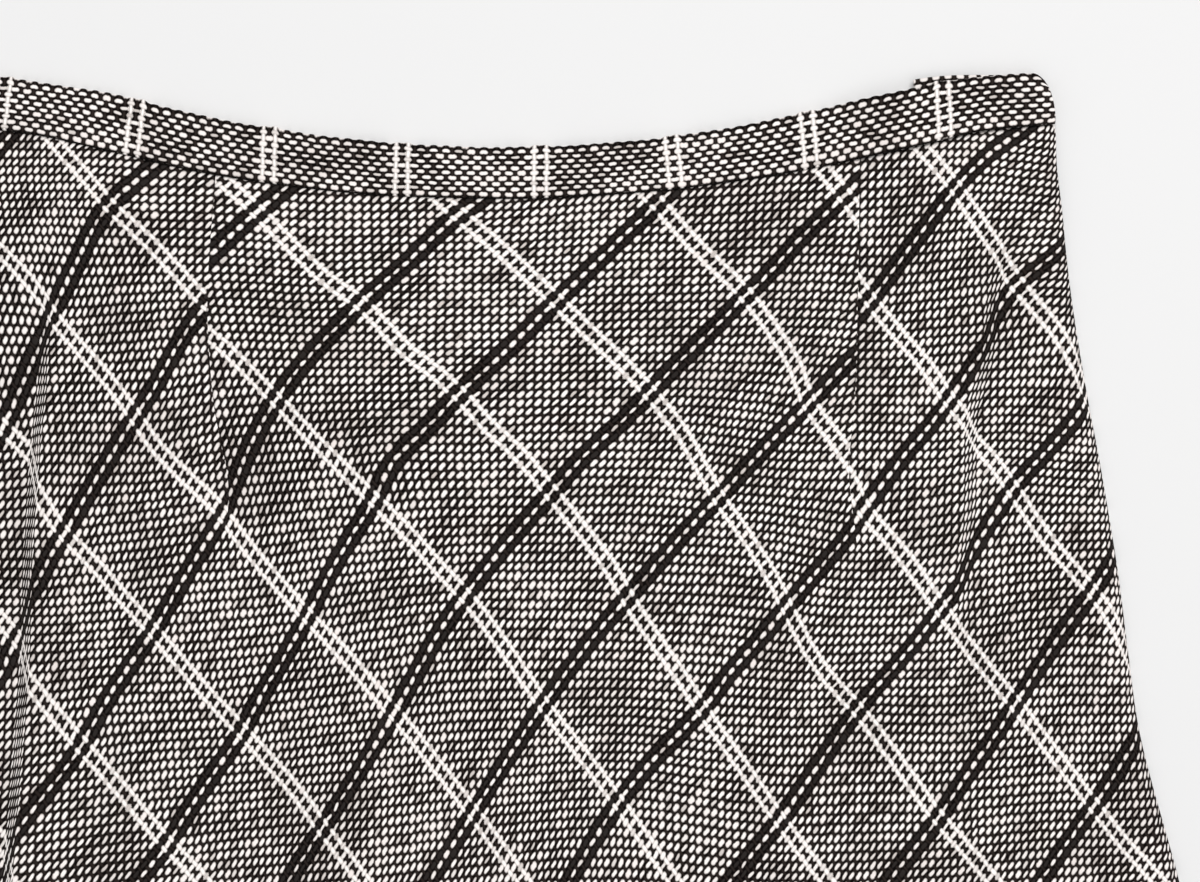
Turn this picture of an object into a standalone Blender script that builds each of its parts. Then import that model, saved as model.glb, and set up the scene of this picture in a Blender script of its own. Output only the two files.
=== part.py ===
"""A bias cut maxi skirt laid flat: two darted panels, a straight-grain waistband and a side zip.

Metres, +Z up. The skirt lies on its back panel in the XY plane with the waist towards +Y and the
front panel uppermost. The origin is the bottom centre of its box. Working values below are in
millimetres: x runs across the skirt and d runs down it from the corner of the waistband.
"""

import math

import bmesh
import bpy

MM = 0.001

# Driving sizes, in millimetres
LENGTH = 1000.0
HEM_HALF = 424.0
HEM_SAG = 50.0
HEM_CORNER = 950.0
CLOTH = 1.5
BAND_CLOTH = 2.2
SEAM_GAP = 0.3
INNER_GAP = 1.4
SIDE_ROLL = 9.0
SIDE_CURL = 1.0
DART_GROOVE = 0.5
DART_HALF = 2.0

# Zip sizes, in millimetres
ZIP_START = 22.5
ZIP_END = 200.0
ZIP_NOTCH = 4.2
NOTCH_END = 50.0
TAPE_WIDTH = 18.0
TAPE_CLOTH = 0.8
SLIDER_LENGTH = 6.5
SLIDER_LOW = 0.3
SLIDER_HIGH = 3.3
EAR = 0.5
PIN_RADIUS = 0.4
PIN_INSET = 0.9
PIN_DOWN = 28.2
EYE_INNER = 0.65
EYE_OUTER = 1.1
EYE_HEIGHT = 1.3
PULL_LENGTH = 15.0

# Half width of the laid skirt at depth d below the corner of the band
OUTLINE = [
    # d, right, left
    (-10.0, 203.0, 205.0),
    (19.0, 209.0, 211.0),
    (35.0, 209.8, 212.5),
    (55.0, 212.2, 214.5),
    (85.0, 215.6, 218.0),
    (120.0, 221.2, 222.5),
    (150.0, 226.8, 227.5),
    (190.0, 233.4, 233.5),
    (220.0, 237.2, 238.5),
    (253.0, 242.0, 244.5),
    (307.0, 256.5, 256.0),
    (450.0, 292.0, 292.0),
    (600.0, 331.0, 331.0),
    (750.0, 371.0, 371.0),
    (950.0, 424.0, 424.0),
    (1010.0, 440.0, 440.0),
]

# Depth of the waistband's two long edges across the skirt: both dip at the centre front
BAND_TOP = [
    # x, d
    (-205.0, 0.0),
    (-180.0, 3.2),
    (-152.0, 7.4),
    (-116.0, 16.0),
    (-80.0, 22.3),
    (-40.0, 26.8),
    (8.0, 28.1),
    (57.0, 24.9),
    (96.0, 18.8),
    (131.0, 11.2),
    (155.0, 5.9),
    (180.0, 1.6),
    (204.0, 0.2),
]
BAND_FOOT = [
    # x, d
    (-211.0, 19.8),
    (-178.0, 23.6),
    (-150.0, 29.8),
    (-111.0, 38.6),
    (-56.0, 45.8),
    (-10.0, 47.6),
    (18.0, 47.4),
    (67.0, 43.8),
    (112.0, 37.2),
    (156.0, 28.0),
    (180.0, 22.4),
    (209.0, 19.6),
]

# The two front darts: the line of each seam from the band to its tip
LEFT_DART = [
    # d, x
    (40.0, -110.2),
    (86.0, -113.2),
    (124.0, -111.0),
    (166.0, -105.3),
    (950.0, -215.0),
]
RIGHT_DART = [
    # d, x
    (36.0, 134.9),
    (86.0, 134.1),
    (124.0, 133.0),
    (158.0, 131.1),
    (950.0, 235.0),
]
DART_TIP = 168.0

# Foot lines of the two long side folds
LEFT_FOLD = [
    # d, x
    (30.0, -170.0),
    (84.0, -173.0),
    (124.0, -176.7),
    (185.0, -180.5),
    (208.0, -184.3),
    (288.0, -188.5),
    (480.0, -207.0),
    (700.0, -240.0),
    (960.0, -283.0),
]
RIGHT_FOLD = [
    # d, x
    (30.0, 193.0),
    (54.0, 192.7),
    (84.0, 184.3),
    (101.0, 182.8),
    (129.0, 176.7),
    (165.0, 175.6),
    (210.0, 176.5),
    (288.0, 181.0),
    (480.0, 203.0),
    (700.0, 245.0),
    (960.0, 300.0),
]
RIPPLE_LEFT = [(300.0, -90.0), (960.0, -150.0)]
RIPPLE_MIDDLE = [(300.0, -5.0), (960.0, -18.0)]
RIPPLE_RIGHT = [(300.0, 70.0), (960.0, 122.0)]
RIPPLE_OUTER_LEFT = [(400.0, -262.0), (960.0, -368.0)]
RIPPLE_OUTER_RIGHT = [(400.0, 262.0), (960.0, 374.0)]

# Ridges of the front: line, height, width of the left flank, of the right flank, start, full
RIDGES = [
    # line, height, left, right, start, full
    (LEFT_FOLD, 2.3, 5.0, 42.0, 62.0, 115.0),
    (RIGHT_FOLD, 2.0, 34.0, 7.0, 50.0, 95.0),
    (RIPPLE_LEFT, 1.7, 40.0, 46.0, 430.0, 820.0),
    (RIPPLE_MIDDLE, 1.9, 44.0, 38.0, 350.0, 760.0),
    (RIPPLE_RIGHT, 1.6, 42.0, 44.0, 480.0, 860.0),
    (RIPPLE_OUTER_LEFT, 1.8, 30.0, 38.0, 460.0, 800.0),
    (RIPPLE_OUTER_RIGHT, 1.7, 36.0, 30.0, 500.0, 840.0),
]

# Depths of the mesh rows, measured down the side
FRONT_ROWS = [20.1, 27.0, 35.0, 45.0, 56.0, 70.0, 85.0, 100.0, 120.0, 140.0, 160.0, 182.0, 205.0,
              235.0, 270.0, 310.0, 360.0, 410.0, 465.0, 525.0, 590.0, 660.0, 735.0, 810.0, 885.0,
              950.0]
BACK_ROWS = [20.1, 30.0, 40.0, 49.5, 56.0, 90.0, 140.0, 200.0, 270.0, 360.0, 465.0, 590.0, 735.0,
             885.0, 950.0]


def smooth(low, high, value):
    """A soft step from 0 at low to 1 at high."""
    share = min(1.0, max(0.0, (value - low) / (high - low)))
    return share * share * (3.0 - 2.0 * share)


def along(table, value, column=1):
    """A table's column at a value of its first one, on a curve through the rows."""
    last = len(table) - 1
    row = 0
    while row < last - 1 and value > table[row + 1][0]:
        row += 1
    x0 = table[row][0]
    x1 = table[row + 1][0]
    share = (value - x0) / (x1 - x0)
    y0 = table[row][column]
    y1 = table[row + 1][column]
    if share <= 0.0 or share >= 1.0:
        return y0 + (y1 - y0) * share
    chord = (y1 - y0) / (x1 - x0)
    start = chord
    end = chord
    if row > 0:
        start = (y1 - table[row - 1][column]) / (x1 - table[row - 1][0])
    if row + 2 <= last:
        end = (table[row + 2][column] - y0) / (table[row + 2][0] - x0)
    start *= x1 - x0
    end *= x1 - x0
    square = share * share
    cube = square * share
    return (
        (2 * cube - 3 * square + 1) * y0
        + (cube - 2 * square + share) * start
        + (3 * square - 2 * cube) * y1
        + (cube - square) * end
    )


def right_edge(d):
    return along(OUTLINE, d, 1)


def left_edge(d):
    return -along(OUTLINE, d, 2)


def hem_depth(x):
    """The hem is an arc that hangs lowest at the centre front."""
    return LENGTH - HEM_SAG * (x / HEM_HALF) ** 2


def to_metres(x, d, z):
    """A point of the working frame in the part's frame."""
    return (x * MM, (LENGTH / 2 - d) * MM, z * MM)


def ridge_height(x, d):
    """How far the folds lift the front panel above its lie."""
    lift = 0.0
    for line, height, left, right, start, full in RIDGES:
        crest = along(line, d)
        if line is LEFT_FOLD:
            crest += left
        if line is RIGHT_FOLD:
            crest -= right
        width = left if x < crest else right
        share = max(0.0, 1.0 - abs(x - crest) / width)
        lift = max(lift, height * smooth(start, full, d) * smooth(0.0, 1.0, share))
    return lift


def dart_depth(x, d):
    """The shallow groove of a dart's seam, which fades out at the tip."""
    depth = 0.0
    for line in (LEFT_DART, RIGHT_DART):
        near = max(0.0, 1.0 - abs(x - along(line, d)) / DART_HALF)
        depth = max(depth, DART_GROOVE * near * (1.0 - smooth(DART_TIP - 25.0, DART_TIP, d)))
    return depth


def front_foot(x, d):
    """Height of the front panel's underside."""
    right = right_edge(d) - x
    left = x - left_edge(d)
    side = min(right, left)
    z = CLOTH + INNER_GAP
    z += 0.45 * smooth(0.0, 4.0, side) * (1.0 - smooth(SIDE_ROLL, 2.2 * SIDE_ROLL, side))
    z -= 0.1 * (1.0 - smooth(0.0, 3.0, left))
    z += 0.75 * (1.0 - smooth(NOTCH_END, 75.0, d)) * (1.0 - smooth(6.0, 20.0, right))
    return z + ridge_height(x, d) - dart_depth(x, d)


def back_foot(x, d):
    """Height of the back panel's underside: flat, curled up at the sides but not at the zip."""
    side = min(right_edge(d) - x, x - left_edge(d))
    curl = max(0.0, 1.0 - side / SIDE_ROLL)
    if x > 0.0:
        curl *= smooth(ZIP_END + 5.0, ZIP_END + 90.0, d)
    return SIDE_CURL * curl * curl


def guide_columns(guides, steps):
    """For each mesh column, the two guides beside it, its share between them and its end depths."""
    columns = []
    for number, count in enumerate(steps):
        for step in range(count):
            columns.append((number, step / count))
    columns.append((len(guides) - 2, 1.0))
    found = []
    for number, share in columns:
        first = guides[number]
        second = guides[number + 1]
        x = first(35.0) * (1 - share) + second(35.0) * share
        x = max(left_edge(20.0), min(right_edge(20.0), x))
        top = along(BAND_FOOT, x) + SEAM_GAP
        x = first(HEM_CORNER) * (1 - share) + second(HEM_CORNER) * share
        found.append((first, second, share, top, hem_depth(x)))
    return found


def panel_points(guides, steps, rows, height):
    """The grid of points of one face of a panel, row by row from the waist to the hem."""
    columns = guide_columns(guides, steps)
    grid = []
    for depth in rows:
        v = (depth - rows[0]) / (rows[-1] - rows[0])
        row = []
        for first, second, share, top, hem in columns:
            d = top + (hem - top) * v
            x = first(d) * (1 - share) + second(d) * share
            row.append((x, d, height(x, d)))
        grid.append(row)
    return grid


def finish_object(name, work, material, angle=40.0):
    """Turns the bmesh into a named object with its material and smooth shading."""
    bmesh.ops.recalc_face_normals(work, faces=work.faces[:])
    mesh = bpy.data.meshes.new(name)
    work.to_mesh(mesh)
    work.free()
    mesh.shade_smooth()
    mesh.set_sharp_from_angle(angle=math.radians(angle))
    obj = bpy.data.objects.new(name, mesh)
    bpy.context.scene.collection.objects.link(obj)
    obj.data.materials.append(material)
    return obj


def extrude_panel(name, grid, thickness, material):
    """A cloth wall: the grid as a sheet, extruded straight up or down by the cloth's thickness."""
    work = bmesh.new()
    rows = [[work.verts.new(to_metres(*point)) for point in row] for row in grid]
    for upper, lower in zip(rows, rows[1:]):
        for k in range(len(upper) - 1):
            work.faces.new((upper[k], upper[k + 1], lower[k + 1], lower[k]))
    made = bmesh.ops.extrude_face_region(work, geom=work.faces[:])
    moved = [item for item in made["geom"] if isinstance(item, bmesh.types.BMVert)]
    bmesh.ops.translate(work, verts=moved, vec=(0.0, 0.0, thickness * MM))
    return finish_object(name, work, material)


def bridge_stations(name, stations, material):
    """A closed bar through equal loops of points, with a cap at each end."""
    work = bmesh.new()
    loops = [[work.verts.new(to_metres(*point)) for point in station] for station in stations]
    count = len(loops[0])
    for first, second in zip(loops, loops[1:]):
        for k in range(count):
            following = (k + 1) % count
            work.faces.new((first[k], first[following], second[following], second[k]))
    work.faces.new(loops[0])
    work.faces.new(loops[-1])
    return finish_object(name, work, material)


def band_station(top, foot, z, normal):
    """One section of the waistband: a flat strip whose long edges are a little rounded."""
    half = BAND_CLOTH / 2
    edge = 0.06
    profile = [
        (0.0, 0.35), (edge, 1.0), (0.5, 1.0), (1 - edge, 1.0), (1.0, 0.35),
        (1.0, -0.35), (1 - edge, -1.0), (0.5, -1.0), (edge, -1.0), (0.0, -0.35),
    ]
    points = []
    for share, side in profile:
        x = foot[0] + (top[0] - foot[0]) * share + normal[0] * half * side
        d = foot[1] + (top[1] - foot[1]) * share
        points.append((x, d, z + normal[1] * half * side))
    return points


def band_edges(t):
    """The ends of the band's section at share t of its length, on the top and the foot edge."""
    top_x = -205.0 + (203.5 + 205.0) * t
    foot_x = -211.0 + (208.6 + 211.0) * t
    return (top_x, along(BAND_TOP, top_x)), (foot_x, along(BAND_FOOT, foot_x))


TAB_START = 155.2
BAND_REST = BAND_CLOTH + SEAM_GAP


def tab_lift(x):
    """The front of the band climbs over the underlap."""
    return BAND_REST * smooth(TAB_START - 42.0, TAB_START - 4.0, x)


def make_waistband_front(material):
    """The front of the band, which lies on the back of it and on the underlap."""
    stations = []
    count = 44
    for k in range(count + 1):
        top, foot = band_edges(k / count)
        middle = (top[0] + foot[0]) / 2
        z = BAND_REST + BAND_CLOTH / 2 + 0.25 + tab_lift(middle)
        fall = smooth(196.0, 207.0, middle)
        stations.append(band_station(top, foot, z - 0.2 * fall, (0.0, 1.0)))
    return bridge_stations("waistband_front", stations, material)


def make_waistband_back(material):
    """The back of the band: along the floor, round the right end, and back as the underlap."""
    stations = []
    count = 40
    radius = BAND_REST / 2
    for k in range(count):
        top, foot = band_edges(k / count)
        stations.append(band_station(top, foot, BAND_CLOTH / 2, (0.0, 1.0)))
    shift = -1.5 - radius
    top, foot = band_edges(1.0)
    steps = 6
    for k in range(steps + 1):
        turn = math.pi * k / steps
        x = shift + radius * math.sin(turn)
        z = BAND_CLOTH / 2 + radius * (1 - math.cos(turn))
        normal = (-math.sin(turn), math.cos(turn))
        stations.append(band_station((top[0] + x, top[1]), (foot[0] + x, foot[1]), z, normal))
    tab = 5
    z = BAND_CLOTH / 2 + BAND_REST
    for k in range(1, tab + 1):
        share = k / tab
        top_x = (top[0] + shift) * (1 - share) + TAB_START * share
        foot_x = (foot[0] + shift) * (1 - share) + (TAB_START + 2.0) * share
        rise = 3.4 * smooth(0.15, 1.0, share)
        ends = (top_x, along(BAND_TOP, top_x) - rise), (foot_x, along(BAND_FOOT, foot_x) - rise)
        stations.append(band_station(ends[0], ends[1], z, (0.0, -1.0)))
    return bridge_stations("waistband_back", stations, material)


def offset_guide(line, offset):
    return lambda d: along(line, d) + offset


def edge_guide(edge, inset):
    return lambda d: edge(d) + inset


def make_front_panel(material):
    """The front panel, with its darts, side folds and hem ripples."""
    guides = [
        edge_guide(left_edge, 0.0),
        edge_guide(left_edge, 4.0),
        edge_guide(left_edge, 20.0),
        offset_guide(LEFT_FOLD, 0.0),
        offset_guide(LEFT_FOLD, 5.0),
        offset_guide(LEFT_DART, -DART_HALF),
        offset_guide(LEFT_DART, 0.0),
        offset_guide(LEFT_DART, DART_HALF),
        offset_guide(RIGHT_DART, -DART_HALF),
        offset_guide(RIGHT_DART, 0.0),
        offset_guide(RIGHT_DART, DART_HALF),
        lambda d: min(along(RIGHT_FOLD, d) - 7.0, right_edge(d) - 27.0),
        lambda d: min(along(RIGHT_FOLD, d), right_edge(d) - 21.0),
        edge_guide(right_edge, -18.0),
        edge_guide(right_edge, -4.0),
        edge_guide(right_edge, 0.0),
    ]
    steps = [2, 2, 3, 2, 5, 1, 1, 15, 1, 1, 4, 3, 3, 2, 2]
    grid = panel_points(guides, steps, FRONT_ROWS, lambda x, d: front_foot(x, d) + CLOTH)
    return extrude_panel("front_panel", grid, -CLOTH, material)


def back_right_edge(d):
    """The back panel is cut away beside the zip's slider and pull."""
    return right_edge(d) - ZIP_NOTCH * (1.0 - smooth(NOTCH_END, NOTCH_END + 6.0, d))


def make_back_panel(material):
    """The back panel, flat where it rests."""
    guides = [
        edge_guide(left_edge, 0.0),
        edge_guide(left_edge, SIDE_ROLL),
        lambda d: right_edge(d) - SIDE_ROLL,
        back_right_edge,
    ]
    grid = panel_points(guides, [4, 14, 4], BACK_ROWS, back_foot)
    return extrude_panel("back_panel", grid, CLOTH, material)


def make_zip_tape(material):
    """The closed zip's tape, which lies between the panels along the right side."""
    grid = []
    rows = 12
    for k in range(rows + 1):
        d = ZIP_START + (ZIP_END - ZIP_START) * k / rows
        if d > NOTCH_END and d < NOTCH_END + 14.0:
            d = NOTCH_END + 7.0
        outer = back_right_edge(d) - 1.4 * smooth(NOTCH_END, NOTCH_END + 6.0, d)
        inner = right_edge(d) - ZIP_NOTCH - TAPE_WIDTH
        z = CLOTH + SEAM_GAP
        middle = (outer + inner) / 2
        grid.append([(inner, d, z), (middle, d, z), (outer, d, z)])
    return extrude_panel("zip_tape", grid, TAPE_CLOTH, material)


def box_into(work, low, high, bevel):
    """Adds a bevelled box between two corners of the working frame."""
    made = bmesh.ops.create_cube(work, size=1.0)
    verts = made["verts"]
    sides = [(high[k] - low[k]) * MM for k in range(3)]
    bmesh.ops.scale(work, verts=verts, vec=sides)
    middle = to_metres(*[(low[k] + high[k]) / 2 for k in range(3)])
    bmesh.ops.translate(work, verts=verts, vec=middle)
    edges = list({edge for vert in verts for edge in vert.link_edges})
    if bevel:
        bmesh.ops.bevel(work, geom=edges, offset=bevel * MM, segments=2, profile=0.5,
                        affect="EDGES")


def mesh_object(name, work):
    """A bare object that holds a helper shape."""
    mesh = bpy.data.meshes.new(name)
    work.to_mesh(mesh)
    work.free()
    obj = bpy.data.objects.new(name, mesh)
    bpy.context.scene.collection.objects.link(obj)
    return obj


def add_helper(target, helper, operation):
    """Joins or cuts the target with a hidden helper shape."""
    helper.hide_render = True
    helper.hide_set(True)
    helper.display_type = "WIRE"
    modifier = target.modifiers.new(helper.name, "BOOLEAN")
    modifier.operation = operation
    modifier.object = helper


def cylinder_object(name, x, d, z, radius, height, segments):
    work = bmesh.new()
    bmesh.ops.create_cone(work, cap_ends=True, segments=segments, radius1=radius * MM,
                          radius2=radius * MM, depth=height * MM)
    bmesh.ops.translate(work, verts=work.verts[:], vec=to_metres(x, d, z))
    return mesh_object(name, work)


def make_zip_slider(material):
    """The slider at the top of the closed zip, with two ears and the pin of its pull."""
    edge = right_edge(PIN_DOWN)
    body = bmesh.new()
    low = (edge - ZIP_NOTCH + 0.3, ZIP_START, SLIDER_LOW)
    high = (edge - PIN_INSET - EYE_OUTER - 0.3, ZIP_START + SLIDER_LENGTH, SLIDER_HIGH)
    box_into(body, low, high, 0.25)
    slider = finish_object("zip_slider", body, material)
    for word, z in (("lower", SLIDER_LOW + 0.1), ("upper", SLIDER_HIGH - EAR - 0.1)):
        ear = bmesh.new()
        low = (edge - ZIP_NOTCH + 0.8, PIN_DOWN - 1.1, z)
        high = (edge - PIN_INSET + 0.75, PIN_DOWN + 0.75, z + EAR)
        box_into(ear, low, high, 0.0)
        add_helper(slider, mesh_object("slider_ear_" + word, ear), "UNION")
    middle = (SLIDER_LOW + SLIDER_HIGH) / 2
    height = SLIDER_HIGH - SLIDER_LOW - 0.5
    pin = cylinder_object("slider_pin", edge - PIN_INSET, PIN_DOWN, middle, PIN_RADIUS, height, 16)
    add_helper(slider, pin, "UNION")
    return slider


def make_zip_pull(material):
    """The drop-shaped pull, whose eye turns on the slider's pin."""
    x = right_edge(PIN_DOWN) - PIN_INSET
    middle = (SLIDER_LOW + SLIDER_HIGH) / 2
    outline = [
        # reach from the pin, half width
        (0.55, 0.75),
        (3.0, 0.75),
        (6.0, 0.8),
        (9.5, 1.2),
        (12.5, 1.35),
        (14.2, 1.1),
        (PULL_LENGTH, 0.5),
    ]
    work = bmesh.new()
    ring = [(reach, half) for reach, half in outline]
    ring += [(reach, -half) for reach, half in reversed(outline)]
    verts = [work.verts.new(to_metres(x - 0.4, PIN_DOWN + reach, middle + side))
             for reach, side in ring]
    face = work.faces.new(verts)
    made = bmesh.ops.extrude_face_region(work, geom=[face])
    moved = [item for item in made["geom"] if isinstance(item, bmesh.types.BMVert)]
    bmesh.ops.translate(work, verts=moved, vec=(0.8 * MM, 0.0, 0.0))
    pull = finish_object("zip_pull", work, material)
    eye = cylinder_object("pull_eye", x, PIN_DOWN, middle, EYE_OUTER, EYE_HEIGHT, 24)
    add_helper(pull, eye, "UNION")
    bore = cylinder_object("pull_bore", x, PIN_DOWN, middle, EYE_INNER, 6.0, 24)
    add_helper(pull, bore, "DIFFERENCE")
    return pull


def principled(name, colour, roughness, metallic):
    """A plain surface: the cloth's mean colour, or the zip's black coat."""
    material = bpy.data.materials.new(name)
    material.use_nodes = True
    shader = material.node_tree.nodes["Principled BSDF"]
    shader.inputs["Base Color"].default_value = (*colour, 1.0)
    shader.inputs["Roughness"].default_value = roughness
    shader.inputs["Metallic"].default_value = metallic
    return material


def clear_scene():
    for obj in list(bpy.data.objects):
        bpy.data.objects.remove(obj, do_unlink=True)


def main():
    clear_scene()
    cloth = principled("windowpane_cloth", (0.30, 0.285, 0.27), 0.85, 0.0)
    band_cloth = principled("waistband_cloth", (0.32, 0.30, 0.285), 0.85, 0.0)
    tape_cloth = principled("zip_tape_cloth", (0.02, 0.019, 0.018), 0.8, 0.0)
    coated = principled("black_coated_metal", (0.025, 0.024, 0.023), 0.4, 0.3)
    make_front_panel(cloth)
    make_back_panel(cloth)
    make_waistband_front(band_cloth)
    make_waistband_back(band_cloth)
    make_zip_tape(tape_cloth)
    make_zip_slider(coated)
    make_zip_pull(coated)


main()
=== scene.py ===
"""Looks of a bias cut maxi skirt laid flat: its checked cloth, waistband, side zip and studio.

Working values are in millimetres: x runs across the skirt, d runs down it from the corner of the
waistband, and z is the height above the floor. Thread counts are the weave's own coordinates.
"""

import logging
import math
from collections.abc import Callable, Iterator
from contextlib import contextmanager
from dataclasses import dataclass, field
from enum import Enum
from functools import partial

import bpy
import numpy as np
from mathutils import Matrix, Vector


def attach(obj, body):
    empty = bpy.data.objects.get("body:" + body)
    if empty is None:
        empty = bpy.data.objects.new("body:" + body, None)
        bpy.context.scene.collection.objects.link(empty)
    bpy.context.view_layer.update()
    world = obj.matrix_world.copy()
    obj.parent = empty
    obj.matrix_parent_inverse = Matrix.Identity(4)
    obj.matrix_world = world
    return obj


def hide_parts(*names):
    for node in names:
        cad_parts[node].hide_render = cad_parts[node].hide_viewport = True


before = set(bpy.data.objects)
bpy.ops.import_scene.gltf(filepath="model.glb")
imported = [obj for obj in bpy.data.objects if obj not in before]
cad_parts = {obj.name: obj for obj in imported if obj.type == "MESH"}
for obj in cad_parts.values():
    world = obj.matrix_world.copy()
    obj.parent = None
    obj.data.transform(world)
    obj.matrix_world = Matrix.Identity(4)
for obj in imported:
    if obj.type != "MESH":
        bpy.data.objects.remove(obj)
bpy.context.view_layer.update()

Array = np.ndarray
Colour = tuple[float, float, float]
Curve = Callable[[Array], Array]
Material = bpy.types.Material
Mesh = bpy.types.Mesh
Object = bpy.types.Object
Pair = tuple[float, float]
Socket = bpy.types.NodeSocket

log = logging.getLogger("maxi_skirt")

MM = 0.001
LENGTH = 1000.0
HEM_HALF = 424.0
HEM_SAG = 50.0
HEM_CORNER = 950.0
THREADS_PER_CHECK = 22
THREAD_PITCH = 2.3
LEFT_FLANK = 4.8
RIGHT_FLANK = 5.8
WAIST_DEPTH = 35.0
CORNER_DEPTH = 20.0

# Half width of the laid skirt at depth d below the corner of the band
OUTLINE = [
    # d, right, left
    (-10, 203, 205),
    (19, 209, 211),
    (35, 209.8, 212.5),
    (55, 212.2, 214.5),
    (85, 215.6, 218),
    (120, 221.2, 222.5),
    (150, 226.8, 227.5),
    (190, 233.4, 233.5),
    (220, 237.2, 238.5),
    (253, 242, 244.5),
    (307, 256.5, 256),
    (450, 292, 292),
    (600, 331, 331),
    (750, 371, 371),
    (950, 424, 424),
    (1010, 440, 440),
]
BAND_TOP = [
    # x, d
    (-205, 0), (-180, 3.2), (-152, 7.4), (-116, 16), (-80, 22.3), (-40, 26.8),
    (8, 28.1), (57, 24.9), (96, 18.8), (131, 11.2), (155, 5.9), (180, 1.6),
    (204, 0.2),
]
BAND_FOOT = [
    # x, d
    (-211, 19.8), (-178, 23.6), (-150, 29.8), (-111, 38.6), (-56, 45.8), (-10, 47.6),
    (18, 47.4), (67, 43.8), (112, 37.2), (156, 28), (180, 22.4), (209, 19.6),
]
LEFT_DART = [
    # d, x
    (40, -110.2), (86, -113.2), (124, -111), (166, -105.3), (950, -215),
]
RIGHT_DART = [
    # d, x
    (36, 134.9), (86, 134.1), (124, 133), (158, 131.1), (950, 235),
]
LEFT_FOLD = [
    # d, x
    (30, -172), (84, -175.8), (105, -177.5), (120, -178.3), (136, -180.1),
    (151, -181.3), (181, -183.4), (196, -184.2), (212, -184.2), (242, -186.2),
    (272, -188.5), (288, -189.8), (480, -207), (700, -240), (960, -283),
]
RIGHT_FOLD = [
    # d, x
    (30, 195), (62, 192), (84, 188.7), (94, 187.2), (104, 187), (115, 184.3),
    (128, 180.9), (140, 179.5), (166, 179.4), (180, 177.8), (210, 177.3),
    (288, 181), (480, 203), (700, 245), (960, 300),
]
RIDGES = [
    # line, crest's distance right of it, height, left flank, right flank, depth of start and full
    (LEFT_FOLD, LEFT_FLANK, 2.7, LEFT_FLANK, 42, 62, 115),
    (RIGHT_FOLD, -RIGHT_FLANK, 2.3, 34, RIGHT_FLANK, 50, 95),
    ([(300, -90), (960, -150)], 0, 1.7, 40, 46, 430, 820),
    ([(300, -5), (960, -18)], 0, 1.9, 44, 38, 350, 760),
    ([(300, 70), (960, 122)], 0, 1.6, 42, 44, 480, 860),
    ([(400, -262), (960, -368)], 0, 1.8, 30, 38, 460, 800),
    ([(400, 262), (960, 374)], 0, 1.7, 36, 30, 500, 840),
]

# Small creases of the front, as soft ridges (height above 0) and troughs (below 0)
CREASES = [
    # x and d of one end, x and d of the other, height, half width
    (-206, 30, -184, 120, -0.9, 13),
    (-188, 92, -197, 310, -2.2, 8),
    (-150, 44, -163, 118, 0.5, 15),
    (-119, 90, -122, 190, 0.4, 8),
    (-96, 60, -92, 150, 0.35, 10),
    (-30, 60, -12, 140, 0.3, 26),
    (60, 60, 44, 150, 0.3, 30),
    (123, 60, 118, 170, 0.35, 9),
    (143, 50, 146, 150, 0.4, 9),
    (199, 40, 206, 105, 0.6, 9),
    (170, 40, 160, 130, -0.5, 12),
    (194, 75, 186, 215, -1.6, 7),
    (214, 150, 222, 260, 0.5, 10),
    (-20, 190, 30, 300, 0.3, 34),
    (90, 180, 118, 300, 0.3, 26),
    (-130, 210, -145, 330, 0.35, 20),
    (-60, 420, -75, 640, -0.6, 22),
    (150, 400, 190, 620, 0.7, 20),
    (-190, 420, -230, 640, 0.7, 22),
    (40, 520, 52, 740, 0.7, 20),
    (240, 330, 262, 520, 0.5, 16),
    (-236, 330, -262, 520, 0.5, 16),
    (300, 640, 352, 860, -0.6, 14),
    (-296, 660, -350, 880, -0.6, 14),
]

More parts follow.
